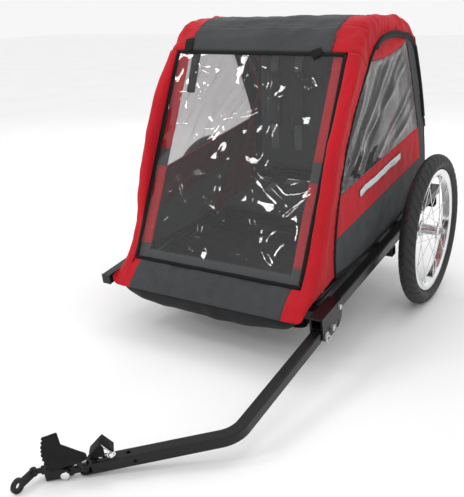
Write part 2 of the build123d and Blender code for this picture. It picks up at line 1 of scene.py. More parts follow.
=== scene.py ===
"""The looks of a folding child bicycle trailer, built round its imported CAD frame.

Soft pieces are drawn in the cabin's level frame, in millimetres: its origin is on the wheels' axis, midway
between them, +X to the trailer's left, -Y forwards and +Z away from the floor panel. place() takes them to
the row frame.
"""
import json
import math

import bmesh
import bpy
import numpy as np
from mathutils import Euler, Matrix, Vector, noise
from mathutils.geometry import delaunay_2d_cdt

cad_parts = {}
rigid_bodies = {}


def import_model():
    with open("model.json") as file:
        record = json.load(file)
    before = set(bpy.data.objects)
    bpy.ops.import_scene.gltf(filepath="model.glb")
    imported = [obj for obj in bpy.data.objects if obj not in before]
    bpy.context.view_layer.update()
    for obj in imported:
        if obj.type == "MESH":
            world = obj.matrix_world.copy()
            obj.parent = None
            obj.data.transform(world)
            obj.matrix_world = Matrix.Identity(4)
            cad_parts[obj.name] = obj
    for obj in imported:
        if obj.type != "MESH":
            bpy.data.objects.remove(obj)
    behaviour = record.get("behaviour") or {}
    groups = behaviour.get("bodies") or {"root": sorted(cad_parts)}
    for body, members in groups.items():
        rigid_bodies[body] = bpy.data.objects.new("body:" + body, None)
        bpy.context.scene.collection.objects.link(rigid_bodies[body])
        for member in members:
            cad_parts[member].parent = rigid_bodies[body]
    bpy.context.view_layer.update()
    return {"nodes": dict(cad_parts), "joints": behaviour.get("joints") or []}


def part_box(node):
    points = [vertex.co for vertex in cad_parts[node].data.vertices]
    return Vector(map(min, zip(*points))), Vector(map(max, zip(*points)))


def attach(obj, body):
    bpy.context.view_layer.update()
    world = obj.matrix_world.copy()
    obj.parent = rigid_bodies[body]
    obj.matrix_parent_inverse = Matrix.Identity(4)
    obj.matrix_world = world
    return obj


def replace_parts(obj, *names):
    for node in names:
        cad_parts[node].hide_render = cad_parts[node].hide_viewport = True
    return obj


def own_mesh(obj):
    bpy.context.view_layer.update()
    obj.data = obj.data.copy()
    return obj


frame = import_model()

MM = 0.001
JOINTS = {joint["name"]: joint for joint in frame["joints"]}
AXLE = Vector(JOINTS["wheel_left_spin"]["pos_m"])
FRONT_HINGE = Vector(JOINTS["cabin_fold"]["pos_m"])
REAR_HINGE = Vector(JOINTS["rear_frame_fold"]["pos_m"])
STANCE = math.atan2(REAR_HINGE.z - FRONT_HINGE.z, REAR_HINGE.y - FRONT_HINGE.y)
TURN = np.array(Matrix.Rotation(STANCE, 3, "X"))
SHIFT = np.array((0.0, AXLE.y, AXLE.z))

SIDE_X = 261.5            # outside of the cloth sides
PILLAR_X = 233.0          # inner edge of the pillars' cloth
RED_X = 195.0             # the roof's dark middle ends here
WINDOW_HALF = 232.0
BINDING = 9.0
WINDOW_TOP = np.array((-225.0, 513.0))       # (y, z)
WINDOW_BOTTOM = np.array((-516.0, 63.0))
FLOOR_Z = -26.0
ROW_STEP = 6.0            # spacing of a cloth grid's rows


def place(points):
    """Level-frame millimetres to row-frame metres."""
    return np.asarray(points, float) * MM @ TURN.T + SHIFT


# ---------------------------------------------------------------- node helpers
class Shader:
    """A short way to wire a material's nodes."""

    def __init__(self, name):
        self.material = bpy.data.materials.new(name)
        self.material.use_nodes = True
        self.tree = self.material.node_tree
        self.tree.nodes.clear()
        self.output = self.tree.nodes.new("ShaderNodeOutputMaterial")

    def add(self, kind, settings=None, **inputs):
        node = self.tree.nodes.new("ShaderNode" + kind)
        for key, value in (settings or {}).items():
            setattr(node, key, value)
        for key, value in inputs.items():
            name = key.replace("_", " ")
            socket = node.inputs[int(key[1:])] if key[0] == "i" and key[1:].isdigit() else node.inputs[name]
            self.join(value, socket)
        return node

    def join(self, value, socket):
        if isinstance(value, bpy.types.NodeSocket):
            self.tree.links.new(value, socket)
        elif isinstance(value, bpy.types.Node):
            self.tree.links.new(value.outputs[0], socket)
        else:
            socket.default_value = value

    def math(self, operation, a, b=0.0):
        return self.add("Math", {"operation": operation}, i0=a, i1=b).outputs[0]

    def place(self):
        return self.add("TexCoord").outputs["Object"]

    def noise(self, scale, detail=2.0, where=None, roughness=0.5):
        return self.add("TexNoise", Vector=where or self.place(), Scale=scale, Detail=detail,
                        Roughness=roughness).outputs[0]

    def spread(self, value, low, high, to_low=0.0, to_high=1.0):
        return self.add("MapRange", Value=value, From_Min=low, From_Max=high, To_Min=to_low,
                        To_Max=to_high).outputs[0]

    def mix(self, share, a, b):
        node = self.add("Mix", {"data_type": "RGBA"})
        self.join(share, node.inputs[0])
        self.join(a, node.inputs[6])
        self.join(b, node.inputs[7])
        return node.outputs[2]

    def bump(self, height, strength, distance):
        return self.add("Bump", Height=height, Strength=strength, Distance=distance).outputs[0]

    def surface(self, shader):
        self.join(shader, self.output.inputs["Surface"])
        return self.material


def tint(color, factor):
    return (*[min(1.0, c * factor) for c in color[:3]], 1.0)


def cloth_material(name, color, thread=1.1, weave=0.35, rough=0.72, sheen=0.06, mottle=0.12):
    """Woven cloth: a fine plain weave in relief, threads that differ a little, and slow shifts of tone."""
    s = Shader(name)
    axes = s.add("SeparateXYZ", Vector=s.place())
    waves = [s.math("SINE", s.math("MULTIPLY", axis, math.tau / (thread * MM))) for axis in axes.outputs]
    weave_height = s.math("ADD", s.math("ADD", waves[0], waves[1]), waves[2])
    slub = s.noise(420.0, 3.0)
    slow = s.noise(5.0, 4.0)
    tone = s.mix(s.spread(slow, 0.32, 0.68), tint(color, 1 - mottle), tint(color, 1 + mottle))
    tone = s.mix(s.spread(slub, 0.35, 0.65, 0.0, 0.3), tone, tint(color, 0.7))
    height = s.math("ADD", weave_height, s.math("MULTIPLY", slub, 1.5))
    crumple = s.bump(s.noise(24.0, 3.0, roughness=0.6), 0.5, 0.012)
    normal = s.add("Bump", Height=height, Strength=weave, Distance=0.0003, Normal=crumple).outputs[0]
    return s.surface(s.add("BsdfPrincipled", Base_Color=tone, Normal=normal,
                           Roughness=s.spread(slow, 0.3, 0.7, rough - 0.06, rough + 0.06),
                           Sheen_Weight=sheen, Sheen_Roughness=0.45, Specular_IOR_Level=0.22))


def webbing_material(name, color, rib=2.2):
    """Ribbed webbing with a slightly glossy yarn, its rib hollows painted darker and its crests lighter as painted
    shade and highlight.
    """
    s = Shader(name)
    axes = s.add("SeparateXYZ", Vector=s.place())
    diagonal = s.math("ADD", axes.outputs[1], s.math("ADD", axes.outputs[2], axes.outputs[0]))
    ribs = s.math("SINE", s.math("MULTIPLY", diagonal, math.tau / (rib * MM)))
    yarn = s.noise(600.0, 2.0)
    # painted shade and highlight: the tone follows the rib relief, darker in the hollows and lighter on the crests
    tone = s.mix(s.spread(ribs, -1.0, 1.0), tint(color, 0.65), tint(color, 1.2))
    normal = s.bump(s.math("ADD", ribs, yarn), 0.6, 0.0006)
    return s.surface(s.add("BsdfPrincipled", Base_Color=tone, Normal=normal,
                           Roughness=s.spread(yarn, 0.3, 0.7, 0.5, 0.68), Specular_IOR_Level=0.2))


def hard_material(name, color, fine, slow, span, shades, relief, gloss, **fixed):
    """A hard or rubbery surface: fine relief, with slow shifts of tone and gloss."""
    s = Shader(name)
    grain, drift = s.noise(*fine), s.noise(*slow)
    tone = s.mix(s.spread(drift, *span), tint(color, shades[0]), tint(color, shades[1]))
    return s.surface(s.add("BsdfPrincipled", Base_Color=tone, Normal=s.bump(grain, *relief),
                           Roughness=s.spread(drift, 0.3, 0.7, *gloss), **fixed))


def coat_material(name, color, rough, grain=900.0):
    """Powder coat or moulded plastic: a fine orange peel and uneven gloss."""
    return hard_material(name, color, (grain, 2.0), (9.0, 4.0), (0.35, 0.7), (0.85, 1.25), (0.12, 0.0004),
                         (rough - 0.05, rough + 0.09), Specular_IOR_Level=0.3)


def metal_material(name, color, rough, scratch=0.2):
    """Plated metal with faint handling marks."""
    return hard_material(name, color, (240.0, 4.0), (14.0, 3.0), (0.35, 0.65), (0.86, 1.04), (scratch, 0.0002),
                         (rough, rough + 0.1), Metallic=1.0)


def rubber_material(name, color):
    """Dull black rubber."""
    return hard_material(name, color, (700.0, 3.0), (18.0, 4.0), (0.35, 0.7), (0.8, 1.5), (0.25, 0.0003),
                         (0.52, 0.72))


def vinyl_material(name, tone, haze, ripple, welts=()):
    """Clear flexible sheet: mostly see-through, a thin haze, and mirror-like glints on its ripples."""
    s = Shader(name)
    waves = s.noise(16.0, 2.0, roughness=0.4)
    creases = s.noise(46.0, 2.0, roughness=0.4)
    height = s.math("ADD", waves, s.math("MULTIPLY", creases, 0.3))
    normal = s.bump(height, ripple, 0.012)
    for scale, tall in welts:
        gap = s.math("ABSOLUTE", s.math("SUBTRACT", s.noise(scale, 1.0), 0.5))
        welt = s.add("MapRange", {"interpolation_type": "SMOOTHSTEP"}, Value=gap, From_Max=0.05)
        normal = s.add("Bump", {"invert": True}, Height=welt, Strength=1.0, Distance=tall,
                       Normal=normal).outputs[0]
    clear = s.add("BsdfTransparent", Color=tone)
    milk = s.add("BsdfPrincipled", Base_Color=(0.2, 0.2, 0.205, 1.0), Roughness=0.5, Specular_IOR_Level=0.1)
    body = s.add("MixShader", i0=haze, i1=clear, i2=milk)
    gloss = s.add("BsdfGlossy", Color=(1.0, 1.0, 1.0, 1.0), Roughness=0.03, Normal=normal)
    facing = s.add("LayerWeight", Blend=0.5, Normal=normal).outputs["Facing"]
    edge = s.spread(s.math("POWER", facing, 5.0), 0.0, 1.0, 0.022, 0.9)
    return s.surface(s.add("MixShader", i0=edge, i1=body, i2=gloss))


def reflective_material(name):
    """Silver retroreflective tape with its fine net of cells."""
    s = Shader(name)
    cells = s.add("TexVoronoi", {"feature": "DISTANCE_TO_EDGE"}, Vector=s.place(), Scale=420.0).outputs[0]
    tone = s.mix(s.spread(cells, 0.0, 0.12), (0.46, 0.48, 0.5, 1.0), (0.78, 0.81, 0.84, 1.0))
    return s.surface(s.add("BsdfPrincipled", Base_Color=tone, Normal=s.bump(cells, 0.3, 0.0004),
                           Roughness=s.spread(cells, 0.0, 0.2, 0.45, 0.28), Metallic=0.35))


RED = (0.5, 0.005, 0.014)
CHARCOAL = (0.05, 0.053, 0.056)
MATERIALS = {
    "red": cloth_material("red_cloth", RED),
    "charcoal": cloth_material("charcoal_cloth", CHARCOAL, thread=1.3, weave=0.45),
    # dark red for the red cloth's inside faces: painted shade of the cabin's inside
    "red_inside_painted_shade": cloth_material("red_inside_painted_shade", (0.085, 0.003, 0.006)),
    "black": cloth_material("black_cloth", (0.012, 0.012, 0.013), weave=0.3, rough=0.6, sheen=0.0),
    "lining": cloth_material("dark_lining", (0.03, 0.031, 0.034), thread=1.6, weave=0.4),
    "binding": webbing_material("edge_binding", (0.007, 0.007, 0.008), rib=1.6),
    "webbing": webbing_material("black_webbing", (0.008, 0.008, 0.009)),
    "grey_webbing": webbing_material("grey_webbing", (0.17, 0.175, 0.18)),
    "vinyl": vinyl_material("clear_vinyl", (0.93, 0.935, 0.94, 1.0), 0.03, 0.03, ((6.0, 0.0024),)),
    "side_vinyl": vinyl_material("tinted_vinyl", (0.85, 0.83, 0.83, 1.0), 0.1, 0.2),
    "paint": coat_material("black_powder_coat", (0.006, 0.006, 0.007), rough=0.26),
    "plastic": coat_material("black_moulded_plastic", (0.014, 0.014, 0.015), rough=0.45, grain=500.0),
    "chrome": metal_material("bright_chrome", (0.86, 0.87, 0.88), 0.1, 0.06),
    "zinc": metal_material("zinc_plate", (0.62, 0.63, 0.64), 0.28),
    "steel": metal_material("plain_steel", (0.5, 0.5, 0.51), 0.34),
    "tyre": rubber_material("tyre_rubber", (0.013, 0.013, 0.014)),
    "tube": rubber_material("tube_rubber", (0.014, 0.014, 0.014)),
    "reflective": reflective_material("silver_reflective_tape"),
}


# ---------------------------------------------------------------- curves and grids
def arc(start, middle, end, count=24):
    """Points on the circle through three points of a plane, from start to end."""
    (ax, ay), (bx, by), (cx, cy) = start, middle, end
    twice = 2 * (ax * (by - cy) + bx * (cy - ay) + cx * (ay - by))
    a2, b2, c2 = ax * ax + ay * ay, bx * bx + by * by, cx * cx + cy * cy
    centre = np.array(((a2 * (by - cy) + b2 * (cy - ay) + c2 * (ay - by)) / twice,
                       (a2 * (cx - bx) + b2 * (ax - cx) + c2 * (bx - ax)) / twice))
    angles = [math.atan2(p[1] - centre[1], p[0] - centre[0]) for p in (start, middle, end)]
    span = (angles[2] - angles[0]) % math.tau
    if (angles[1] - angles[0]) % math.tau > span:
        span -= math.tau
    turn = angles[0] + np.linspace(0, span, count)
    return centre + math.hypot(*(np.array(start) - centre)) * np.stack([np.cos(turn), np.sin(turn)], 1)


def path(*runs):
    """Joins points and stretches of points into one line."""
    joined = [np.asarray(run, float).reshape(-1, 2 if len(np.shape(run)) == 1 and len(run) == 2
                                             else np.shape(run)[-1]) for run in runs]
    points = np.concatenate(joined)
    keep = np.r_[True, np.linalg.norm(np.diff(points, axis=0), axis=1) > 1e-6]
    return points[keep]


def spaced(points, count):
    """count points, evenly spaced along a line."""
    points = np.asarray(points, float)
    length = np.r_[0, np.cumsum(np.linalg.norm(np.diff(points, axis=0), axis=1))]
    at = np.linspace(0, length[-1], count)
    return np.stack([np.interp(at, length, points[:, k]) for k in range(points.shape[1])], 1)


def smooth(points, rounds=2):
    """Rounds a line's corners, keeping its ends."""
    points = np.asarray(points, float)
    for _ in range(rounds):
        cut = np.stack([points[:-1] * 0.75 + points[1:] * 0.25, points[:-1] * 0.25 + points[1:] * 0.75], 1)
        points = np.concatenate([points[:1], cut.reshape(-1, points.shape[1])[1:-1], points[-1:]])
    return points


def normals(points):
    """Unit normals of a grid of points."""
    across = np.cross(np.gradient(points, axis=0), np.gradient(points, axis=1))
    return across / np.maximum(np.linalg.norm(across, axis=-1, keepdims=True), 1e-9)


def lift(points, height, outward):
    """Moves a grid out along its normals, to the side that outward mostly points to."""
    normal = normals(points)
    sign = np.sign(np.sum(normal * np.asarray(outward, float)))
    return points + normal * sign * height[..., None]


def rumple(points, size, height, seed=0, grain=(1.0, 1.0, 1.0)):
    """Heights of smooth random rumples, about size across; grain stretches them along an axis."""
    shift = Vector((seed * 7.31, seed * 3.77, seed * 5.13))
    scaled = (points / (size * np.array(grain))).reshape(-1, 3)
    values = np.array([noise.noise(Vector(p) + shift) for p in scaled])
    return values.reshape(points.shape[:-1]) * height


def folds(points, lines):
    """Heights of soft folds; a line is (start, end, width, height)."""
    total = np.zeros(points.shape[:-1])
    for start, end, width, height in lines:
        start, run = np.array(start, float), np.array(end, float) - np.array(start, float)
        share = np.clip((points - start) @ run / (run @ run), 0, 1)
        gap = np.linalg.norm(points - (start + share[..., None] * run), axis=-1)
        total += height * np.exp(-(gap / width) ** 2) * (1 - 0.6 * np.abs(2 * share - 1) ** 3)
    return total


def fade(count, start, end):
    """0 to 1 to 0 over count rows, with ramps of start and end rows; 0 for no ramp."""
    ramp = np.ones(count)
    index = np.arange(count)
    if start:
        ramp = np.minimum(ramp, index / start)
    if end:
        ramp = np.minimum(ramp, (count - 1 - index) / end)
    ramp = np.clip(ramp, 0, 1)
    return ramp * ramp * (3 - 2 * ramp)


# ---------------------------------------------------------------- mesh pieces
def piece(name, points, faces, material, thick=0.0, level=True, smooth_shade=True):
    """A mesh object; thick adds a second face that far behind, in millimetres."""
    mesh = bpy.data.meshes.new(name)
    mesh.from_pydata(place(points).tolist() if level else np.asarray(points).tolist(), [], faces)
    mesh.polygons.foreach_set("use_smooth", [smooth_shade] * len(mesh.polygons))
    mesh.materials.append(MATERIALS[material])
    mesh.update()
    body = bpy.data.objects.new(name, mesh)
    bpy.context.scene.collection.objects.link(body)
    if thick:
        wall = body.modifiers.new("wall", "SOLIDIFY")
        wall.thickness = thick * MM
        wall.offset = 0.0
    return body


def grid_faces(rows, columns, ring=False):
    """Quads over a grid of points; ring joins the last column to the first."""
    across = columns if ring else columns - 1
    return [(r * columns + c, r * columns + (c + 1) % columns, (r + 1) * columns + (c + 1) % columns,
             (r + 1) * columns + c) for r in range(rows - 1) for c in range(across)]


def cloth(name, points, material, thick=1.2):
    """A sheet of cloth over a grid of level-frame points."""
    rows, columns = points.shape[:2]
    sheet = piece(name, points.reshape(-1, 3), grid_faces(rows, columns), material, thick)
    return sheet


def laid(name, points, material, thick=1.2):
    """A sheet of cloth over a grid."""
    sheet = cloth(name, points, material, thick)
    return sheet


def sweep(name, line, section, across, material, closed=False, level=True):
    """Carries a section, as (across, away) pairs, along a line of 3-D points."""
    line, section = np.asarray(line, float), np.asarray(section, float)
    along = np.roll(line, -1, 0) - np.roll(line, 1, 0) if closed else np.gradient(line, axis=0)
    along /= np.linalg.norm(along, axis=1, keepdims=True)
    side = np.broadcast_to(np.asarray(across, float), line.shape)
    side = side - along * np.sum(side * along, axis=1, keepdims=True)
    side = side / np.linalg.norm(side, axis=1, keepdims=True)
    away = np.cross(side, along)
    points = line[:, None] + side[:, None] * section[None, :, :1] + away[:, None] * section[None, :, 1:]
    rows, columns = points.shape[:2]
    faces = grid_faces(rows, columns, ring=True)
    if closed:
        last = (rows - 1) * columns
        faces += [(last + c, last + (c + 1) % columns, (c + 1) % columns, c) for c in range(columns)]
    else:
        faces += [tuple(range(columns))[::-1], tuple(range((rows - 1) * columns, rows * columns))]
    return piece(name, points.reshape(-1, 3), faces, material, level=level)


def round_section(radius, count=12):
    turn = np.arange(count) * math.tau / count
    return np.stack([np.cos(turn), np.sin(turn)], 1) * radius


def strap_section(width, thick):
    """A flat strap with rounded selvedges."""
    half, edge = width / 2, thick / 2
    corners = [(half - edge, edge), (half - edge * 0.3, edge * 0.7), (half, 0), (half - edge * 0.3, -edge * 0.7),
               (half - edge, -edge)]
    return corners + [(-a, -b) for a, b in corners]


def join(name, objects):
    """Joins mesh objects into one piece."""
    for body in bpy.context.scene.objects:
        body.select_set(False)
    for body in objects:
        body.select_set(True)
    bpy.context.view_layer.objects.active = objects[0]
    bpy.ops.object.join()
    objects[0].name = name
    return objects[0]


def mirrored(points):
    return np.asarray(points) * np.array((-1.0, 1.0, 1.0))


def at_x(x, line):
    """A (y, z) line at one x."""
    return np.column_stack([np.full(len(line), float(x)), line])


SIDES = (("left", 1), ("right", -1))


def soft_on_chassis(body):
    """Rides on the chassis, with a mesh of its own."""
    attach(body, "chassis")
    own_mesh(body)
    return body


# ---------------------------------------------------------------- the cabin's outline, as (y, z)
PILLAR = arc((-485, 66), (-378, 323), (-225, 513), 60)
HEADER = arc((-225, 513), (-197, 540), (-165, 561), 20)
CROWN = arc((-165, 561), (-134, 571), (-100, 573), 20)
SLOPE = arc((-100, 573), (0, 557), (93, 531), 30)
CORNER = arc((93, 531), (122, 512), (139, 478), 20)
REAR = path(arc((139, 478), (193, 320), (233, 112), 50), (237, 8))
PIPING_FRONT = path((-408, 50), arc((-407, 96), (-334, 298), (-190, 466), 50))
PIPING_HEADER = arc((-190, 466), (-170, 486), (-146, 503), 20)
PIPING_CROWN = arc((-146, 503), (-118, 515), (-91, 521), 20)
PIPING_TOP = arc((-91, 521), (-13, 516), (57, 497), 30)
PIPING_CORNER = arc((57, 497), (100, 482), (127, 452), 20)
PIPING_REAR = path(arc((127, 452), (181, 310), (218, 112), 50), (222, 8))
HEM = path((-408, 50), arc((-400, 46), (-300, 31), (-160, 24)), (222, 24))


def rows_for(line):
    return max(4, int(np.linalg.norm(np.diff(line, axis=0), axis=1).sum() / ROW_STEP))


def wrap(outer, inner, inset, round_radius, side=1, columns=(5, 9, 14)):
    """Cloth that turns the corner from the front, roof or back to the side, as a grid.

    outer is the corner's line and inner the line that the cloth reaches on the side, both as (y, z). inset is
    (line, x) of its edge on the front, roof or back.
    """
    rows = len(outer)
    grid = []
    for row in range(rows):
        run = inner[row] - outer[row]
        length = np.linalg.norm(run)
        run = run / length
        radius = min(round_radius, 0.8 * length)
        edge_line, edge_x = inset
        edge = np.array((edge_x[row], *edge_line[row]))
        corner = np.array((SIDE_X - radius, *outer[row]))
        turns = np.linspace(0, math.pi / 2, columns[0], endpoint=False)
        flat = [edge + (corner - edge) * ((1 - math.cos(a)), math.sin(a), math.sin(a)) for a in turns]
        turn = np.linspace(0, math.pi / 2, columns[1])
        bend = [np.array((SIDE_X - radius + radius * math.sin(a), *(outer[row] + run * radius * (1 - math.cos(a)))))
                for a in turn]
        flank = [np.array((SIDE_X, *(outer[row] + run * (radius + (length - radius) * t))))
                 for t in np.linspace(0, 1, columns[2] + 1)[1:]]
        grid.append(flat + bend + flank)
    grid = np.array(grid)
    return grid if side > 0 else mirrored(grid)


# ---------------------------------------------------------------- cabin cloth
def make_pillars():
    """The red cloth over the front hoop's legs: the front part rides on the hoop, the side part on the chassis."""
    count = rows_for(PILLAR)
    upper = path((-522, 66), (-506, 81), (-488, 102), PILLAR[PILLAR[:, 1] > 128])
    outer = path(spaced(path((-579, 18), (-553, 46), (-522, 66)), 14)[:-1], spaced(smooth(upper, 2), count))
    edge = path(spaced(arc((-579, 17), (-553, 45), WINDOW_BOTTOM, 20), 14)[:-1],
                np.linspace(WINDOW_BOTTOM, WINDOW_TOP, count))
    inner = path(spaced(path((-572, 37), (-518, 49), (-462, 45), (-408, 50)), 14)[:-1],
                 spaced(PIPING_FRONT, count))
    total = len(edge)
    edge_x = np.full(total, PILLAR_X)
    split = 11
    for name, side in SIDES:
        grid = wrap(outer, inner, (edge, edge_x), 17.0, side)
        rows, columns = grid.shape[:2]
        lengthwise = rumple(grid, 42, 6.0, seed=3 + side, grain=(1, 4.5, 4.5))
        fine = rumple(grid, 15, 2.4, seed=9 + side, grain=(1, 2.5, 2.5))
        x = side * SIDE_X
        creases = folds(grid, [
            ((x, -240, 478), (x * 0.97, -330, 395), 10, 3.5), ((x, -262, 452), (x * 0.95, -392, 300), 12, 3.0),
            ((x * 0.96, -250, 492), (x * 0.93, -350, 362), 9, -2.5), ((x, -352, 330), (x, -440, 150), 14, 3.0),
            ((x, -392, 230), (x, -452, 66), 11, -3.0), ((x * 0.95, -462, 140), (x * 0.95, -478, 70), 12, 3.0)])
        puckers = 1.5 * np.sin(np.arange(rows) * ROW_STEP * math.tau / 19)[:, None] \
            * np.linspace(0, 1, columns)[None] ** 4
        height = np.maximum(lengthwise + fine + creases + puckers, -1.8) * fade(rows, 4, 6)[:, None] \
            * fade(columns, 3, 3)[None]
        grid = lift(grid, height, (side, -0.6, 0.3))
        front = cloth(f"pillar_cloth_{name}", grid[:, :split + 1], "red")
        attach(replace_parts(front, f"door_pillar_{name}"), "front_frame")
        flank = laid(f"pillar_side_{name}", grid[:, split:], "red")
        soft_on_chassis(flank)


def make_roof():
    """Header and roof in one grid from piping to piping: dark in the middle, red over both shoulders."""
    outer = path(spaced(HEADER, rows_for(HEADER)), spaced(CROWN, rows_for(CROWN)),
                 spaced(SLOPE, rows_for(SLOPE)), spaced(CORNER, rows_for(CORNER)))
    inner = path(spaced(PIPING_HEADER, rows_for(HEADER)), spaced(PIPING_CROWN, rows_for(CROWN)),
                 spaced(PIPING_TOP, rows_for(SLOPE)), spaced(PIPING_CORNER, rows_for(CORNER)))
    rows = len(outer)
    header_rows = rows_for(HEADER)
    edge_x = np.full(rows, RED_X)
    shoulder = wrap(outer, inner, (outer, edge_x), 26.0, 1, (12, 11, 12))
    middle_count = 60
    middle = np.array([[(x, *outer[row]) for x in np.linspace(-RED_X, RED_X, middle_count)][1:-1]
                       for row in range(rows)])
    grid = np.concatenate([mirrored(shoulder)[:, ::-1], middle, shoulder], axis=1)
    left_end = shoulder.shape[1]
    x = SIDE_X
    shoulder_pleats = (((-150, 512), (236, -128, 566), 8, 4.0), ((-118, 520), (240, -92, 570), 7, -3.0),
                       ((-86, 524), (232, -70, 566), 9, 4.0), ((-40, 520), (238, -20, 560), 8, 3.5),
                       ((-10, 516), (226, 14, 552), 7, -3.0), ((22, 508), (236, 52, 542), 8, 4.0),
                       ((60, 494), (238, 92, 528), 9, 3.5), ((96, 478), (232, 124, 504), 8, -2.5))
    pleats = [((side * x, *foot), (side * top[0], *top[1:]), width, tall)
              for side in (-1, 1) for foot, top, width, tall in shoulder_pleats]
    pleats += [((-190, -152, 566), (190, -146, 566), 16, -3.0), ((-150, -60, 568), (60, 30, 550), 30, -4.0),
               ((20, -110, 573), (185, -20, 560), 24, 3.0), ((-190, 60, 541), (150, 66, 540), 18, 3.5),
               ((-120, -200, 538), (80, -190, 545), 12, 1.5)]
    sag = -6.0 * np.sin(np.linspace(0, math.pi, rows))[:, None] * np.ones(grid.shape[1])[None]
    gather = np.clip((np.abs(grid[..., 0]) - 190) / 50, 0, 1) * rumple(grid, 17, 5.0, 23, grain=(4.0, 1.0, 4.0))
    height = 1.3 * folds(grid, pleats) + rumple(grid, 60, 4.5, 21) + rumple(grid, 20, 1.4, 22) + sag + gather
    height *= fade(rows, 4, 3)[:, None] * fade(grid.shape[1], 3, 3)[None]
    upward = np.stack([np.sign(grid[..., 0]) * np.clip(np.abs(grid[..., 0]) / x, 0, 1) ** 4,
                       np.zeros(grid.shape[:2]), np.full(grid.shape[:2], 0.8)], -1)
    upward[..., 1] = np.where(np.arange(rows)[:, None] < header_rows, -0.8, 0.2)
    grid = lift(grid, height, upward)
    middle_slice = slice(left_end - 1, left_end + middle_count - 1)
    parts = {"right": slice(0, left_end), "middle": middle_slice,
             "left": slice(left_end + middle_count - 3, None)}
    for name, columns in parts.items():
        tone, slot = ("charcoal", "charcoal_fabric") if name == "middle" else ("red", "red_fabric")
        band = grid[:header_rows, columns]
        header = cloth(f"header_{name}", band, tone)
        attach(header, "front_frame")
        if name == "middle":
            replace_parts(header, "front_header")
        sheet = grid[header_rows - 1:, columns]
        roof = cloth(f"roof_{name}", sheet, tone)
        if name == "middle":
            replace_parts(roof, "roof_panel")
        soft_on_chassis(roof)
    for name, side in SIDES:
        seam = grid[:, left_end + middle_count - 3] if side > 0 else grid[:, left_end - 1]
        stitch = sweep(f"roof_seam_{name}", seam + (0, 0, 0.6), round_section(1.1, 6), (1, 0, 0), "charcoal")
        soft_on_chassis(stitch)


def make_rear_edges():
    """Red cloth that turns the back corners."""
    rows = rows_for(REAR)
    outer, inner = spaced(REAR, rows), spaced(PIPING_REAR, rows)
    for name, side in SIDES:
        grid = wrap(outer, inner, (outer, np.full(rows, 224.0)), 11.0, side, (6, 7, 3))
        height = rumple(grid, 36, 2.5, 31 + side) * fade(rows, 3, 3)[:, None]
        grid = lift(grid, height * fade(grid.shape[1], 3, 2)[None], (side, 0.8, 0))
        edge = laid(f"rear_corner_{name}", grid, "red")
        soft_on_chassis(edge)


def inside(point, loop):
    """True if a point is inside a closed line."""
    y, z = point
    hit = False
    for (ay, az), (by, bz) in zip(loop, np.roll(loop, -1, 0)):
        if (az > z) != (bz > z) and y < (by - ay) * (z - az) / (bz - az) + ay:
            hit = not hit
    return hit


def filled(loop, step):
    """Triangles over the inside of a closed (y, z) line, as (points, faces, the line evenly spaced)."""
    count = max(8, int(np.linalg.norm(np.diff(path(loop, loop[:1]), axis=0), axis=1).sum() / step))
    edge = spaced(path(loop, loop[:1]), count + 1)[:-1]
    low, high = edge.min(0), edge.max(0)
    inner = []
    for row, z in enumerate(np.arange(low[1] + step * 0.6, high[1], step * 0.87)):
        for y in np.arange(low[0] + step * (0.5 if row % 2 else 1.0), high[0], step):
            if inside((y, z), edge) and np.min(np.linalg.norm(edge - (y, z), axis=1)) > step * 0.55:
                inner.append((y, z))
    points = [Vector(p) for p in list(edge) + inner]
    links = [(i, (i + 1) % count) for i in range(count)]
    made = delaunay_2d_cdt(points, links, [], 1, 1e-4)
    return np.array([tuple(v) for v in made[0]]), [tuple(f) for f in made[2]], edge


def side_patch(name, side, loop, material, height, step=7.0, thick=1.2, outward=0.0):
    """A region of the cabin's side; height(points) is how far each point stands out."""
    flat, faces, edge = filled(loop, step)
    points = np.column_stack([np.full(len(flat), SIDE_X + outward), flat])
    gap = np.min(np.linalg.norm(flat[:, None] - edge[None], axis=-1), axis=1)
    points[:, 0] += height(points) * np.clip(gap / 22.0, 0, 1)
    body = piece(f"{name}_{'left' if side > 0 else 'right'}", points if side > 0 else mirrored(points),
                 faces if side > 0 else [f[::-1] for f in faces], material, thick)
    width, length = np.ptp(flat[:, 0]) * MM, np.ptp(flat[:, 1]) * MM
    shape = path(loop, loop[:1])
    area = abs(np.sum(shape[:-1, 0] * shape[1:, 1] - shape[1:, 0] * shape[:-1, 1])) / 2 * MM * MM
    while area < 0.32 * width * length:
        width *= 0.9
    return body


def between(line, low, high):
    """The stretch of a (y, z) line whose z lies from low to high, with its ends cut there."""
    order = np.argsort(line[:, 1])
    y_at = [np.interp(z, line[order, 1], line[order, 0]) for z in (low, high)]
    middle = line[(line[:, 1] > low) & (line[:, 1] < high)]
    if line[0, 1] < line[-1, 1]:
        return path((y_at[0], low), middle, (y_at[1], high)) if len(middle) else \
            path((y_at[0], low), (y_at[1], high))
    return path((y_at[1], high), middle, (y_at[0], low))


WINDOW_Z = 226.0
BAND_Z = 134.0
STRIP_FRONT = path(arc((71, 470), (126, 330), (160, WINDOW_Z), 20), (176, BAND_Z), (190, 24))
CRESCENT = arc((-170, 484), (-60, 470), (66, 480), 30)
TAPE_Y = (-258, 16)
TAPE_Z = (182.5, 203.5)


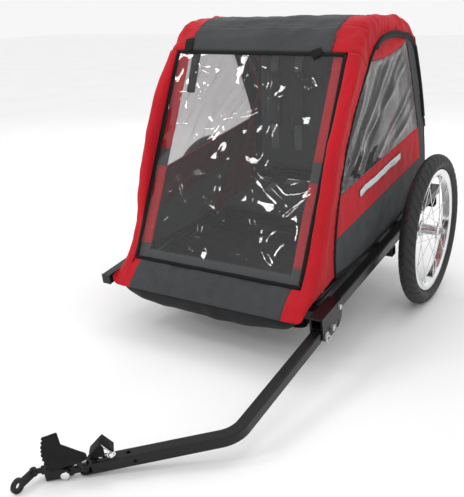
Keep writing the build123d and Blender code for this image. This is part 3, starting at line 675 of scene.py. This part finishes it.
def make_sides():
    """Everything inside the piping: tinted window, crescent, red band, dark lower panel and rear strip."""
    front_line = path(PIPING_FRONT, PIPING_HEADER, PIPING_CROWN)
    pane = path(between(PIPING_FRONT, WINDOW_Z, CRESCENT[0, 1] - 20), CRESCENT + (0, -1),
                between(STRIP_FRONT, WINDOW_Z, 470))
    band = path(between(PIPING_FRONT, BAND_Z, WINDOW_Z), between(STRIP_FRONT, BAND_Z, WINDOW_Z))
    front_foot = between(PIPING_FRONT, 50, BAND_Z)
    lower = path(front_foot[::-1], HEM[HEM[:, 0] < 190], (190, 24), between(STRIP_FRONT, 24, BAND_Z)[::-1])
    crescent = path(CRESCENT, (71, 470), (57, 497), PIPING_TOP[::-1],
                    front_line[front_line[:, 1] > CRESCENT[0, 1]][::-1])
    strip = path(STRIP_FRONT[::-1], (57, 497), PIPING_CORNER, between(PIPING_REAR, 24, 452))

    def on_side(*runs):
        return [((SIDE_X, *start), (SIDE_X, *end), width, tall) for start, end, width, tall in runs]

    window_folds = on_side(((-360, 250), (-190, 440), 8, 3.0), ((-330, 240), (-90, 462), 6, -2.5),
                           ((-300, 262), (-20, 470), 7, 3.2), ((-240, 240), (30, 455), 8, -3.0),
                           ((-210, 300), (60, 420), 6, 2.6), ((-150, 236), (95, 345), 7, 3.0),
                           ((-90, 262), (110, 330), 5, -2.4), ((-40, 236), (130, 290), 7, 2.6))
    dents = on_side(((-380, 60), (-260, 118), 14, -4.0), ((-300, 48), (-150, 104), 12, 3.0),
                    ((-180, 40), (-40, 112), 13, -3.5), ((-60, 40), (80, 100), 12, 3.0))
    for name, side in SIDES:
        seed = 40 + side

        def taut(points, size=46, tall=3.2):
            return rumple(points, size, tall, seed) + rumple(points, size / 3, tall / 2.5, seed + 1)

        def crinkled(points):
            return 1.8 * folds(points, window_folds) + rumple(points, 34, 4.4, seed, grain=(1, 2.2, 2.2)) - 3.0

        def lower_cloth(points):
            return folds(points, dents) + rumple(points, 40, 4.0, seed)

        def tucked(points):
            return rumple(points, 30, 2.0, seed) - 9.0 * np.clip((points[:, 2] - 478) / 26, 0, 1)

        made = [side_patch("side_window_sheet", side, pane, "side_vinyl", crinkled, 6.5, 0.8),
                side_patch("side_band", side, band, "red", taut),
                # a flat dark red sheet just inside the red band: painted shade of the cabin's inside
                side_patch("side_band_inside_shade", side, band, "red_inside_painted_shade",
                           lambda points: 0 * points[:, 0], 9.0, outward=-4.5),
                side_patch("side_lower", side, lower, "charcoal", lower_cloth),
                side_patch("side_crescent", side, crescent, "red", tucked, 6.0),
                side_patch("side_rear_strip", side, strip, "charcoal", taut, 6.0)]
        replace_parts(made[0], f"side_window_{name}")
        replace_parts(made[1], f"side_panel_{name}")
        for body in made:
            soft_on_chassis(body)

        for kind, tone, slot, trim, height in (("edge", "binding", "binding", 0.0, 1.0),
                                               ("silver", "reflective", "reflective", 2.2, 1.9)):
            tape = np.array([[(SIDE_X, y, z) for y in np.linspace(TAPE_Y[0] + trim, TAPE_Y[1] - trim, 60)]
                             for z in np.linspace(TAPE_Z[0] + trim, TAPE_Z[1] - trim, 6)])
            tape[..., 0] += taut(tape) + height
            body = cloth(f"tape_{kind}_{name}", tape if side > 0 else mirrored(tape), tone, 0.8)
            if side > 0 and kind == "silver":
                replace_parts(body, "reflective_strips")
            soft_on_chassis(body)


def make_piping():
    """Black cord sewn into the window's edge, the bound hems and the loose tail at the back."""
    loop = path(PIPING_FRONT, PIPING_HEADER, PIPING_CROWN, PIPING_TOP, PIPING_CORNER)
    for name, side in SIDES:
        x = side * (SIDE_X + 0.2)
        cord = sweep(f"window_piping_{name}", at_x(x, spaced(loop, 130)), round_section(4.2, 10), (1, 0, 0),
                     "binding")
        # a black strip just below the top of the cord: painted shadow under the piping
        shadow_arc = path(PIPING_CROWN[6:], PIPING_TOP, PIPING_CORNER)
        shadow_arc = at_x(x, spaced(shadow_arc, 50) + (0, -4))
        flap = sweep(f"window_painted_shadow_{name}", shadow_arc, [(-2.5, -9), (2.2, -8), (3.0, 6), (-1.5, 7)], (1, 0, 0),
                     "black")
        rear = spaced(PIPING_REAR[PIPING_REAR[:, 1] > 245], 60)
        wide = sweep(f"rear_piping_{name}", at_x(x + side * 0.5, rear), round_section(6.4, 10), (1, 0, 0),
                     "binding")
        slim = spaced(path(rear[-1:], PIPING_REAR[PIPING_REAR[:, 1] < 245]), 40)
        lower = sweep(f"rear_seam_{name}", at_x(x, slim), round_section(1.8, 8), (1, 0, 0), "binding")
        tail_line = [(x, *rear[-1]), (x + side * 2, rear[-1][0] + 6, rear[-1][1] - 12),
                     (x + side, rear[-1][0] + 10, rear[-1][1] - 26), (x, rear[-1][0] + 17, rear[-1][1] - 34)]
        tail = sweep(f"rear_tail_{name}", smooth(tail_line, 3), strap_section(7, 2), (1, 0, 0), "webbing")
        hem = sweep(f"side_hem_{name}", at_x(x, spaced(HEM, 70)), [(-2.6, -5), (2.0, -5), (2.4, 5), (-2.6, 5)],
                    (1, 0, 0), "binding")
        welts = [sweep(f"seam_{index}_{name}", at_x(x - side * 0.6, line), round_section(1.3, 6), (1, 0, 0), tone)
                 for index, (line, tone) in enumerate((
                     (spaced(between(STRIP_FRONT, BAND_Z, 470), 40), "black"),
                     (np.linspace(between(PIPING_FRONT, WINDOW_Z, 300)[0], (160, WINDOW_Z), 40), "red"),
                     (np.linspace(between(PIPING_FRONT, BAND_Z, 300)[0], (176, BAND_Z), 40), "charcoal")))]
        trim = join(f"side_trim_{name}", [cord, flap, wide, lower, tail, hem, *welts])
        soft_on_chassis(trim)


# ---------------------------------------------------------------- front cover and apron
WINDOW_RUN = WINDOW_BOTTOM - WINDOW_TOP
WINDOW_LENGTH = float(np.linalg.norm(WINDOW_RUN))
DOWN = WINDOW_RUN / WINDOW_LENGTH
HEM_INNER, HEM_OUTER = 197.0, 233
AHEAD = np.array((DOWN[1], -DOWN[0]))


def on_window(x, along, ahead=0.0):
    """A level-frame point on the front window: along its slope from the top, and ahead of its plane."""
    return np.array((x, *(WINDOW_TOP + DOWN * along + AHEAD * ahead)))


def make_front_cover():
    """The clear sheet with its crinkles, its bound edge, and the tabs that hold its corners."""
    rows, columns = 150, 130
    xs = np.linspace(-WINDOW_HALF + 4, WINDOW_HALF - 4, columns)
    downs = np.linspace(5, WINDOW_LENGTH - 4, rows)
    grid = np.array([[on_window(x, s) for x in xs] for s in downs])
    ripples = 3.5 + rumple(grid, 130, 5.0, 51)
    for size, tall, seed in ((88, 7.0, 52), (52, 1.6, 54)):
        ripples -= tall * np.sqrt(rumple(grid, size, 1.0, seed) ** 2 + 0.004)
    creases = []
    for x0, s0, x1, s1, width, tall in ((-150, 60, -60, 190, 7, 2.2), (-60, 190, 60, 250, 6, -2.0),
                                        (-20, 70, 90, 130, 7, 2.4), (60, 120, 190, 60, 8, -2.2),
                                        (-190, 260, -120, 380, 6, 2.0), (30, 260, 150, 350, 8, 2.4),
                                        (-90, 330, 20, 420, 7, -2.2), (120, 420, 215, 330, 6, 2.2),
                                        (-210, 470, -140, 400, 6, -2.0), (-40, 450, 90, 500, 6, 2.0)):
        creases.append((on_window(x0, s0), on_window(x1, s1), width, tall))
    height = (ripples + folds(grid, creases)) * fade(rows, 12, 14)[:, None] * fade(columns, 10, 10)[None]
    grid = lift(grid, height, (0, *AHEAD))
    pane = laid("front_window_sheet", grid, "vinyl", 0.5)
    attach(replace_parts(pane, "front_window"), "front_cover")

    corners = [(-1, 0), (1, 0), (1, WINDOW_LENGTH), (-1, WINDOW_LENGTH)]
    reach = WINDOW_HALF - BINDING / 2
    line = []
    for (a, s), (b, t) in zip(corners, corners[1:] + corners[:1]):
        s, t = (min(max(v, BINDING / 2), WINDOW_LENGTH - BINDING / 2) for v in (s, t))
        line += [on_window(reach * (a + (b - a) * u), s + (t - s) * u, 0.6)
                 for u in np.linspace(0, 1, 40)[:-1]]
    half = BINDING / 2
    section = [(-half, -1.2), (0, -1.7), (half, -1.2), (half, 1.2), (0, 1.9), (-half, 1.2)]
    sides = []
    for index in range(4):
        run = np.array([*line[index * 39:(index + 1) * 39], line[(index + 1) * 39 % len(line)]])
        toward = (1, 0, 0) if index % 2 else (0, *DOWN)
        sides.append(sweep(f"bound_{index}", run, section, toward, "binding"))
    bound = join("front_window_bound_edge", sides)
    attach(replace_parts(bound, "front_window_binding"), "front_cover")


def make_door_hems():
    """Under the clear sheet: red hems down both sides, their dark joins, and a dark hem along the foot."""
    depth = -8.0
    stretches = ((2, 250, "red"), (250, 296, "charcoal"), (296, 492, "red"), (492, WINDOW_LENGTH, "charcoal"))
    for name, side in SIDES:
        for index, (start, end, tone) in enumerate(stretches):
            ss = np.linspace(start, end, 20)
            grid = np.array([[on_window(side * x, s, depth) for x in np.linspace(HEM_INNER, HEM_OUTER, 6)]
                             for s in ss])
            grid = lift(grid, rumple(grid, 26, 2.0, 60 + index), (0, *AHEAD))
            hem = laid(f"door_hem_{index}_{name}", grid, tone)
            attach(hem, "front_frame")
    ss = np.linspace(506, WINDOW_LENGTH + 2, 6)
    grid = np.array([[on_window(x, s, depth) for x in np.linspace(-200, 200, 60)] for s in ss])
    grid = lift(grid, rumple(grid, 34, 3.0, 66), (0, *AHEAD))
    foot = laid("door_foot_hem", grid, "charcoal")
    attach(foot, "chassis")
    lead = WINDOW_TOP + np.array((7, -5))
    straps = []
    for name, x, top, foot, width in (("inner_left", -180, 4, 108, 25), ("inner_right", 187, 4, 46, 13)):
        hang = [(x + 2, *(lead + DOWN * top)), (x, *(lead + DOWN * (top + foot) / 2 + (9, 0))),
                (x + 1, *(lead + DOWN * foot + (11, 0)))]
        straps.append(sweep(name, smooth(hang, 3), strap_section(width, 2.0), (1, 0, 0), "webbing"))
    header_tab = [(-203, *HEADER[8]), (-200, *HEADER[4]), (-197, *HEADER[0]), on_window(-194, 5)]
    straps.append(sweep("left_tab", smooth(np.array(header_tab) + (0, -2.5, 1.8), 2), strap_section(23, 2.2),
                        (1, 0, 0), "webbing"))
    wedge = [on_window(154, -6, 3.5), on_window(157, 2, 4.5), on_window(163, 13, 3.5)]
    straps.append(sweep("right_tab", smooth(wedge, 2), strap_section(25, 2.2), (1, 0, 0), "webbing"))
    tabs = join("corner_tabs", straps)
    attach(tabs, "front_frame")


def make_apron():
    """The front flap, dark in the middle and red at both ends, and the black belly behind its edge."""
    rows = 26
    profile = spaced(arc(WINDOW_BOTTOM + (4, 0), (-553, 45), (-579, 17), 24), rows)
    turned = np.linspace(0, 1, rows)

    def strip(start, end, count):
        return np.array([[(x, *profile[row]) for x in
                          np.linspace(start[0] + (start[1] - start[0]) * turned[row],
                                      end[0] + (end[1] - end[0]) * turned[row], count)] for row in range(rows)])

    dents = [((-150, -545, 50), (-60, -572, 22), 13, -3.5), ((-40, -540, 54), (30, -574, 22), 12, 3.0),
             ((60, -545, 50), (120, -572, 24), 13, -3.5), ((120, -540, 54), (190, -570, 26), 10, 3.0),
             ((-190, -540, 54), (-120, -568, 28), 11, 3.0)]

    def draped(grid, seed):
        height = folds(grid, dents) + rumple(grid, 34, 5.0, seed) + rumple(grid, 13, 1.2, seed + 1)
        return lift(grid, height * fade(rows, 3, 2)[:, None], (0, -1, 0.6))

    middle = draped(strip((-209, -209), (209, 209), 90), 71)
    body = laid("apron_middle", middle, "charcoal", 1.6)
    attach(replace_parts(body, "front_apron"), "chassis")
    for name, side in SIDES:
        end = strip((209, 209), (236, 236), 8)
        end = draped(end if side > 0 else mirrored(end), 71)
        body = laid(f"apron_end_{name}", end, "red", 1.6)
        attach(body, "chassis")

    columns = 80
    xs = np.linspace(-240, 240, columns)
    bulge = (1 - np.abs(xs / 240) ** 4) ** 0.5
    drop = spaced(path(arc((-574, 16), (-574, -12), (-548, -33), 12), (-536, -34)), 16)
    belly = np.array([[(x, -540 + (y + 540) * (0.55 + 0.45 * b), 15 + (z - 15) * b) for x, b in zip(xs, bulge)]
                      for y, z in drop])
    height = rumple(belly, 44, 5.0, 77) * fade(16, 3, 3)[:, None] * fade(columns, 4, 4)[None]
    belly = lift(belly, height, (0, -1, -0.6))
    body = laid("apron_belly", belly, "black")
    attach(body, "chassis")


def make_tub():
    """The black tub: floor cloth that sags between the bars and turns up the sides to the hems."""
    rows, columns = 130, 96
    ys = np.linspace(-536, 236, rows)
    half = [(257, 26), (258, 8), (254, -12), (240, -23), (200, FLOOR_Z)]
    right = smooth(half, 3)
    shape = spaced(path(mirrored(np.column_stack([right[:, 0], right]))[:, (0, 2)], right[::-1]), columns)
    grid = np.array([[(x, y, z) for x, z in shape] for y in ys])
    share = np.clip(1 - np.abs(grid[..., 0]) / 250, 0, 1)
    sag = 5.0 * np.sqrt(share) * (1 - np.abs(np.sin((grid[..., 1] + 140) / 336 * math.pi)))
    grid[..., 2] -= np.where(grid[..., 2] < -15, sag, 0)
    nose = np.clip((-500 - grid[..., 1]) / 36, 0, 1)
    grid[..., 2] = np.where(grid[..., 2] > -15, grid[..., 2] * (1 - 0.7 * nose), grid[..., 2] + 4 * nose)
    height = rumple(grid, 46, 5.0, 81) * fade(rows, 2, 2)[:, None] * fade(columns, 5, 5)[None]
    outward = np.stack([np.sign(grid[..., 0]) * (np.abs(grid[..., 0]) > 245) * 2.0, np.zeros(grid.shape[:2]),
                        -np.ones(grid.shape[:2])], -1)
    grid = lift(grid, height, outward)
    body = laid("floor_cloth", grid, "black", 1.4)
    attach(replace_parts(body, "floor_panel"), "chassis")


def make_rear_panel():
    """The back: black cloth with a low pocket and a bound flap."""
    line = spaced(REAR, 90)
    xs = np.linspace(-226, 226, 90)
    grid = np.array([[(x, y - 1.5, z) for x in xs] for y, z in line])
    height = rumple(grid, 70, 6.0, 91) + rumple(grid, 24, 1.6, 92) - 1.0
    height *= fade(90, 4, 4)[:, None] * fade(90, 4, 4)[None]
    grid = lift(grid, height, (0, 1, 0))
    panel = laid("rear_cloth", grid, "lining")
    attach(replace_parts(panel, "rear_panel"), "rear_frame")

    pocket_line = spaced(REAR[REAR[:, 1] < 240], 50)
    pocket = np.array([[(x, y, z) for x in np.linspace(-190, 190, 80)] for y, z in pocket_line])
    puff = 6.0 * np.sin(np.linspace(0, math.pi, 50))[:, None] ** 0.5 \
        * np.sin(np.linspace(0, math.pi, 80))[None] ** 0.3
    pocket = lift(pocket, puff + rumple(pocket, 40, 2.5, 93) * fade(50, 3, 6)[:, None], (0, 1, 0))
    body = laid("rear_pocket", pocket, "charcoal")
    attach(body, "rear_frame")
    edges = [sweep("pocket_edge", pocket[0], strap_section(14, 2.2), (0, 0, 1), "binding"),
             sweep("pocket_left", pocket[:, -1], strap_section(9, 2.0), (1, 0, 0), "binding"),
             sweep("pocket_right", pocket[:, 0], strap_section(9, 2.0), (1, 0, 0), "binding"),
             sweep("top_edge", grid[0] + (0, 1, 0), strap_section(12, 2.2), (0, 0, 1), "binding")]
    for side in (-1, 1):
        edges.append(sweep(f"side_edge_{side}", grid[:, 0 if side < 0 else -1] + (0, 3.4, 0),
                           strap_section(11, 3.2), (1, 0, 0), "binding"))
    trim = join("rear_trim", edges)
    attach(trim, "rear_frame")


# ---------------------------------------------------------------- seat and harness
SEAT_BACK = Matrix.Translation((0, 62, 92)) @ Matrix.Rotation(math.radians(-8), 4, "X")


def on_back(points):
    """Seat-back coordinates, in millimetres, to the level frame."""
    turn, shift = np.array(SEAT_BACK.to_3x3()), np.array(SEAT_BACK.translation)
    return np.asarray(points, float) @ turn.T + shift


def cushion_mesh(size, middle, step):
    """A closed box of small quads with rounded edges, as (points, faces)."""
    box = bmesh.new()
    bmesh.ops.create_cube(box, size=1.0)
    cuts = max(1, int(max(size) / step) // 8)
    bmesh.ops.subdivide_edges(box, edges=box.edges, cuts=min(40, cuts * 4), use_grid_fill=True)
    points = np.array([tuple(v.co) for v in box.verts])
    faces = [tuple(v.index for v in f.verts) for f in box.faces]
    box.free()
    unit = points * 2
    soft = np.sign(unit) * np.abs(unit) ** 0.82
    size = np.array(size, float)
    radius = min(size) * 0.46
    core = np.clip(soft * size / 2, -(size / 2 - radius), size / 2 - radius)
    away = soft * size / 2 - core
    away *= (radius / np.maximum(np.linalg.norm(away, axis=1, keepdims=True), radius))
    return core + away + np.array(middle, float), faces


def inflate(body, cap, pressure=4.0):
    """Blows a closed mesh up as cloth, with no point moving further than cap, and applies the result."""
    start = np.array([v.co for v in body.data.vertices])
    soft = body.modifiers.new("cloth", "CLOTH")
    soft.settings.use_pressure = True
    soft.settings.uniform_pressure_force = pressure
    soft.settings.effector_weights.gravity = 0.0
    soft.settings.quality = 6
    soft.point_cache.frame_start, soft.point_cache.frame_end = 1, 20
    for number in range(1, 21):
        bpy.context.scene.frame_set(number)
    shown = body.evaluated_get(bpy.context.evaluated_depsgraph_get())
    blown = np.array([v.co for v in shown.data.vertices])
    body.modifiers.remove(soft)
    bpy.context.scene.frame_set(1)
    move = blown - start
    length = np.linalg.norm(move, axis=1, keepdims=True)
    start = start + move * np.minimum(1.0, cap / np.maximum(length, 1e-9))
    body.data.vertices.foreach_set("co", start.astype(np.float32).ravel())
    body.data.update()
    return body


def channelled(body, to_local, channels, face):
    """Presses sewn channels into a cushion; channels are (axis, place, from, to) in the cushion's own frame."""
    points = np.array([v.co for v in body.data.vertices])
    local = to_local(points)
    push = np.zeros(len(points))
    for axis, middle, low, high in channels:
        other = 2 if axis == 0 else 0
        inside_run = (local[:, other] > low) & (local[:, other] < high)
        push += np.where(inside_run, np.exp(-((local[:, axis] - middle) / 7.0) ** 2), 0)
    normal = np.array([v.normal for v in body.data.vertices])
    facing = np.clip(normal @ np.asarray(face), 0, 1)
    points -= normal * (np.clip(push, 0, 1) * facing * 7.0 * MM)[:, None]
    body.data.vertices.foreach_set("co", points.astype(np.float32).ravel())
    body.data.update()


def make_seat():
    """Two-place sling seat: a foam base and back with sewn channels, straps, pads and buckles."""
    back_points, faces = cushion_mesh((400, 24, 340), (0, 18, 175), 9)
    back = inflate(piece("seat_back_cushion", on_back(back_points), faces, "charcoal"), 0.006)
    face = TURN @ np.array(SEAT_BACK.to_3x3()) @ np.array((0, -1.0, 0))
    inverse = SEAT_BACK.inverted()
    turn, shift = np.array(inverse.to_3x3()), np.array(inverse.translation)

    def back_frame(points):
        return ((points - SHIFT) @ TURN / MM) @ turn.T + shift

    channels = [(0, 0, 0, 350), (0, -170, 20, 330), (0, 170, 20, 330), (2, 110, -190, 190), (2, 250, -190, 190)]
    channelled(back, back_frame, channels, face)
    back.modifiers.new("soften", "SUBSURF").levels = 1
    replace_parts(back, "seat_back") or back
    soft_on_chassis(back)

    base_points, faces = cushion_mesh((400, 196, 32), (0, -48, 60), 9)
    base = inflate(piece("seat_base_cushion", base_points, faces, "lining"), 0.006)

    def base_frame(points):
        level = (points - SHIFT) @ TURN / MM
        return level[:, (0, 2, 1)]

    channelled(base, base_frame, [(0, 0, -140, 50), (0, -150, -140, 50), (0, 150, -140, 50)],
               TURN @ np.array((0, 0, 1.0)))
    base.modifiers.new("soften", "SUBSURF").levels = 1
    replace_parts(base, "seat_base")
    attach(base, "chassis")

    straps = []
    pads = []
    for seat_x in (-102, 102):
        for strap_x in (-38, 38):
            x = seat_x + strap_x
            line = on_back([(x, 8, 338), (x, -1, 326), (x, -4, 290), (x, -5, 200), (x, -3, 110),
                            (x * 0.985, -2, 70)])
            straps.append(sweep(f"shoulder_{x}", smooth(line, 3), strap_section(24, 2), (1, 0, 0),
                                "grey_webbing"))
            pad = on_back([(x, -5, 146), (x, -9, 160), (x, -9.5, 220), (x, -9, 276), (x, -5, 292)])
            section = [(19, -1.5), (20, 1), (17, 3.4), (0, 4.6), (-17, 3.4), (-20, 1), (-19, -1.5)]
            pads.append(sweep(f"pad_{x}", smooth(pad, 3), section, (1, 0, 0), "charcoal"))
        lap = [(seat_x - 82, 30, 78), (seat_x - 60, 14, 84), (seat_x - 20, 7, 87), (seat_x + 20, 7, 87),
               (seat_x + 60, 14, 84), (seat_x + 82, 30, 78)]
        straps.append(sweep(f"lap_{seat_x}", smooth(lap, 3), strap_section(24, 2), (0, 1, 0.2), "grey_webbing"))
        crotch = [(seat_x, 3, 88), (seat_x, -30, 86), (seat_x, -66, 82), (seat_x, -84, 74)]
        straps.append(sweep(f"crotch_{seat_x}", smooth(crotch, 3), strap_section(24, 2), (1, 0, 0),
                            "grey_webbing"))
    harness = join("harness_webbing", straps)
    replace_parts(harness, "harness_straps")
    soft_on_chassis(harness)
    for index, pad in enumerate(pads):
        if not index:
            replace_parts(pad, "shoulder_pads")
        soft_on_chassis(pad)

    # the seat's red side wings, coloured dark red: painted shade inside the cabin
    for name, side in SIDES:
        wing = []
        for share in np.linspace(0, 1, 40):
            top = 1 - share
            row = []
            for t in np.linspace(0, 1, 24):
                z = 24 + (150 + 150 * (1 - t) ** 1.6) * share
                row.append((side * (206 + 44 * t), 44 + 60 * share - (150 * top + 50) * t, z))
            wing.append(row)
        wing = np.array(wing)
        wing = lift(wing, rumple(wing, 60, 12.0, 95 + side) * fade(24, 3, 3)[None], (-side, -1, 0))
        body = laid(f"inner_wing_{name}", wing, "red_inside_painted_shade")
        soft_on_chassis(body)


# ---------------------------------------------------------------- wheels
GROOVES = 46


def make_tyre(name, side):
    """A tyre with slanted grooves cut over its shoulders and two ribs on each wall."""
    low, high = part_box(f"tyre_{name}")
    centre = (low + high) / 2
    outer = (high.z - low.z) / 2
    casing = (high.x - low.x) / 2 - 0.0004
    middle = outer - casing
    around, over = GROOVES * 14, 54
    points = np.zeros((around, over, 3))
    phi = np.arange(around) * math.tau / around
    theta = np.linspace(-math.radians(139), math.radians(139), over)
    lean = np.abs(np.degrees(theta))
    for index, angle in enumerate(theta):
        across = casing * math.sin(angle)
        reach = middle + casing * math.cos(angle)
        bead = np.clip((lean[index] - 95) / 44, 0, 1)
        across *= 1 - 0.12 * bead
        phase = phi * GROOVES / math.tau + np.sign(angle) * 0.25 - (lean[index] / 90) ** 1.4 * 1.35
        gap = np.abs((phase + 0.5) % 1 - 0.5) * math.tau * outer / GROOVES
        width = 0.0013 + 0.0014 * (lean[index] / 90)
        cut = np.clip(1.25 - gap / width, 0, 1) * (7 < lean[index] < 84)
        rib = 0.0006 * np.exp(-((lean[index] - 98) / 4) ** 2) + 0.0005 * np.exp(-((lean[index] - 112) / 3) ** 2)
        radius_change = -0.0034 * cut + rib
        points[:, index, 0] = side * across + np.sin(angle) * side * radius_change
        reach = reach + math.cos(angle) * radius_change
        points[:, index, 1], points[:, index, 2] = reach * np.cos(phi), reach * np.sin(phi)
    points += np.array(centre)
    flat = points.reshape(-1, 3)
    faces = grid_faces(around, over) + [((around - 1) * over + c, (around - 1) * over + c + 1, c + 1, c)
                                        for c in range(over - 1)]
    if side > 0:
        faces = [face[::-1] for face in faces]
    tyre = piece(f"tyre_tread_{name}", flat, faces, "tyre", level=False)
    wall = tyre.modifiers.new("wall", "SOLIDIFY")
    wall.thickness, wall.offset = 0.0018, -1.0
    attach(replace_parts(tyre, f"tyre_{name}") or tyre, f"wheel_{name}")


# ---------------------------------------------------------------- tow hitch straps
def hitch_frame():
    """The tow line's frame: along it, across it and up, from the yaw axis and the swivel's bolt."""
    yaw, pitch = (JOINTS[n] for n in ("hitch_yaw", "hitch_pitch"))
    up = np.array(yaw["axis"], float)
    across = np.array(pitch["axis"], float)
    along = np.cross(across, up)
    gap = np.array(pitch["pos_m"], float) - np.array(yaw["pos_m"], float)
    if gap @ along < 0:
        along = -along
    return np.array(yaw["pos_m"], float), along, across, up


def make_hitch_straps():
    """The stiff safety strap: tall layers of webbing with a saw-cut edge on the yoke, and its looped tail."""
    origin, along, across, up = hitch_frame()
    yaw_s = 271.0

    def on_hitch(points):
        points = np.asarray(points, float) * MM
        return origin + (points[:, :1] - yaw_s * MM) * along + points[:, 1:2] * across + points[:, 2:] * up

    def strap(name, line, width, thick, rounds=3, material="webbing"):
        route = smooth([(s, 0, h) for s, h in line], rounds)
        return sweep(name, on_hitch(route), np.array(strap_section(width, thick)) * MM, across, material, level=False)

    def face(name, outline, offset, seed):
        flat, faces, _ = filled(np.array(outline, float), 3.5)
        points = np.column_stack([flat[:, 0], np.full(len(flat), float(offset)), flat[:, 1]])
        points[:, 1] += rumple(points, 16, 1.2, seed)
        body = piece(name, on_hitch(points), faces, "webbing", level=False)
        wall = body.modifiers.new("wall", "SOLIDIFY")
        wall.thickness, wall.offset = 0.0018, 0.0
        bpy.context.view_layer.objects.active = body
        bpy.ops.object.modifier_apply(modifier="wall")
        return body

    teeth = []
    for s, h in spaced([(333, 22), (336, 44), (332, 68), (327, 84)], 8):
        teeth += [(s - 1.5, h), (s + 2.0, h + 3), (s + 1.6, h + 6), (s - 1.8, h + 7.6)]
    outline = [(303, 20), (329, 12), *teeth, (324, 91), (301, 95), (300, 68), (263, 39), (262, 27), (284, 21)]
    loop = join("safety_strap_loop", [face("outer_layer", outline, 13.4, 61), face("middle_layer", outline, 11.6, 62),
                                      strap("web", [(300, 30), (331, 26), (336, 19)], 23, 2.0)])
    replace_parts(loop, "safety_strap")
    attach(loop, "yoke")

    wing = [(248, 14.5), (263, 26), (235, 51), (232.5, 46), (233.5, 15)]
    tail = join("safety_strap_end", [
        strap("tail_rise", [(250, 14), (263, 26), (234, 52)], 23, 2.2, 1), face("tail_face", wing, 5.0, 63),
        strap("tail_tip", [(233, 53), (217, 30)], 25, 4.2, 1)])
    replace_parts(tail, "safety_strap_tail")
    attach(tail, "tow_arm")
    bar = strap("tail_bar", [(235, 49.5), (220.5, 28)], 21, 1.6, 1, "chrome")
    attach(bar, "tow_arm")


# ---------------------------------------------------------------- CAD parts keep their shape and take a finish
FINISHES = {
    "paint": ("side_rail_left", "side_rail_right", "axle_crossbar", "floor_crossbars", "cabin_base_ring",
              "axle_brackets", "tow_bracket", "hoop_hinge_lugs", "front_hoop", "rear_hoop", "tow_bar",
              "hitch_insert", "hitch_swivel", "hitch_yoke", "hitch_eye"),
    "plastic": ("rail_end_caps", "harness_buckles"),
    "zinc": ("stub_axles", "axle_nuts", "tow_bracket_bolts", "hoop_hinge_pins", "tow_lock_pin", "hitch_yaw_bolt",
             "hitch_tension_bolt", "hitch_pin_clip"),
    "chrome": ("hitch_pin", "hitch_pitch_bolt", "rim_left", "rim_right", "hub_left", "hub_right", "spokes_left",
               "spokes_right"),
    "steel": ("hub_bearings_left", "hub_bearings_right"),
    "tube": ("inner_tube_left", "inner_tube_right"),
}


def finish_cad_parts():
    for material, names in FINISHES.items():
        for name in names:
            mesh = frame["nodes"][name].data
            mesh.materials.clear()
            mesh.materials.append(MATERIALS[material])


# ---------------------------------------------------------------- studio
def make_studio():
    """A pale floor, soft lights and the camera."""
    shade = Shader("pale_floor")
    tone = shade.mix(shade.spread(shade.noise(3.0), 0.3, 0.7), (0.93, 0.93, 0.93, 1.0), (0.96, 0.96, 0.96, 1.0))
    MATERIALS["floor"] = shade.surface(shade.add("BsdfPrincipled", Base_Color=tone, Roughness=0.85))
    half = 14.0
    floor = piece("studio_floor", [(-half, -half, 0), (half, -half, 0), (half, half, 0), (-half, half, 0)],
                  [(0, 1, 2, 3)], "floor", level=False)

    world = bpy.data.worlds.new("studio")
    bpy.context.scene.world = world
    world.use_nodes = True
    sky = world.node_tree.nodes["Background"]
    sky.inputs["Color"].default_value = (1.0, 1.0, 1.0, 1.0)
    sky.inputs["Strength"].default_value = 0.93
    bpy.context.scene.view_settings.view_transform = "Standard"

    for name, where, aim, size, power in (
            ("key", (2.2, -2.0, 2.8), (0, 0, 0.4), 1.6, 10.0), ("top", (0.2, 0.9, 3.2), (0, 0.2, 0.4), 1.6, 10.0),
            ("back", (-1.6, 2.6, 1.8), (0, 0.2, 0.4), 1.2, 10.0),
            ("glint_low", (-1.0, -2.1, 1.6), (0, -0.1, 0.4), 0.3, 7.0),
            ("glint_high", (-2.0, -1.6, 2.5), (0, -0.1, 0.4), 0.35, 9.0)):
        lamp = bpy.data.lights.new(name, "AREA")
        lamp.shape, lamp.size, lamp.energy = "SQUARE", size, power
        body = bpy.data.objects.new(name, lamp)
        body.location = where
        body.rotation_euler = (Vector(aim) - Vector(where)).to_track_quat("-Z", "Y").to_euler()
        bpy.context.scene.collection.objects.link(body)

    lens = bpy.data.cameras.new("camera")
    lens.lens, lens.sensor_width, lens.sensor_fit = 53.551, 36.0, "AUTO"
    lens.clip_start, lens.clip_end = 0.05, 50.0
    camera = bpy.data.objects.new("camera", lens)
    camera.location = (0.90706, -1.39509, 0.79301)
    camera.rotation_euler = Euler([math.radians(a) for a in (71.3527, 1.4142, 31.8699)], "XYZ")
    bpy.context.scene.collection.objects.link(camera)
    bpy.context.scene.camera = camera


make_pillars()
make_roof()
make_rear_edges()
make_sides()
make_piping()
make_front_cover()
make_door_hems()
make_apron()
make_tub()
make_rear_panel()
make_seat()
for wheel_name, wheel_side in SIDES:
    make_tyre(wheel_name, wheel_side)
make_hitch_straps()
finish_cad_parts()
make_studio()
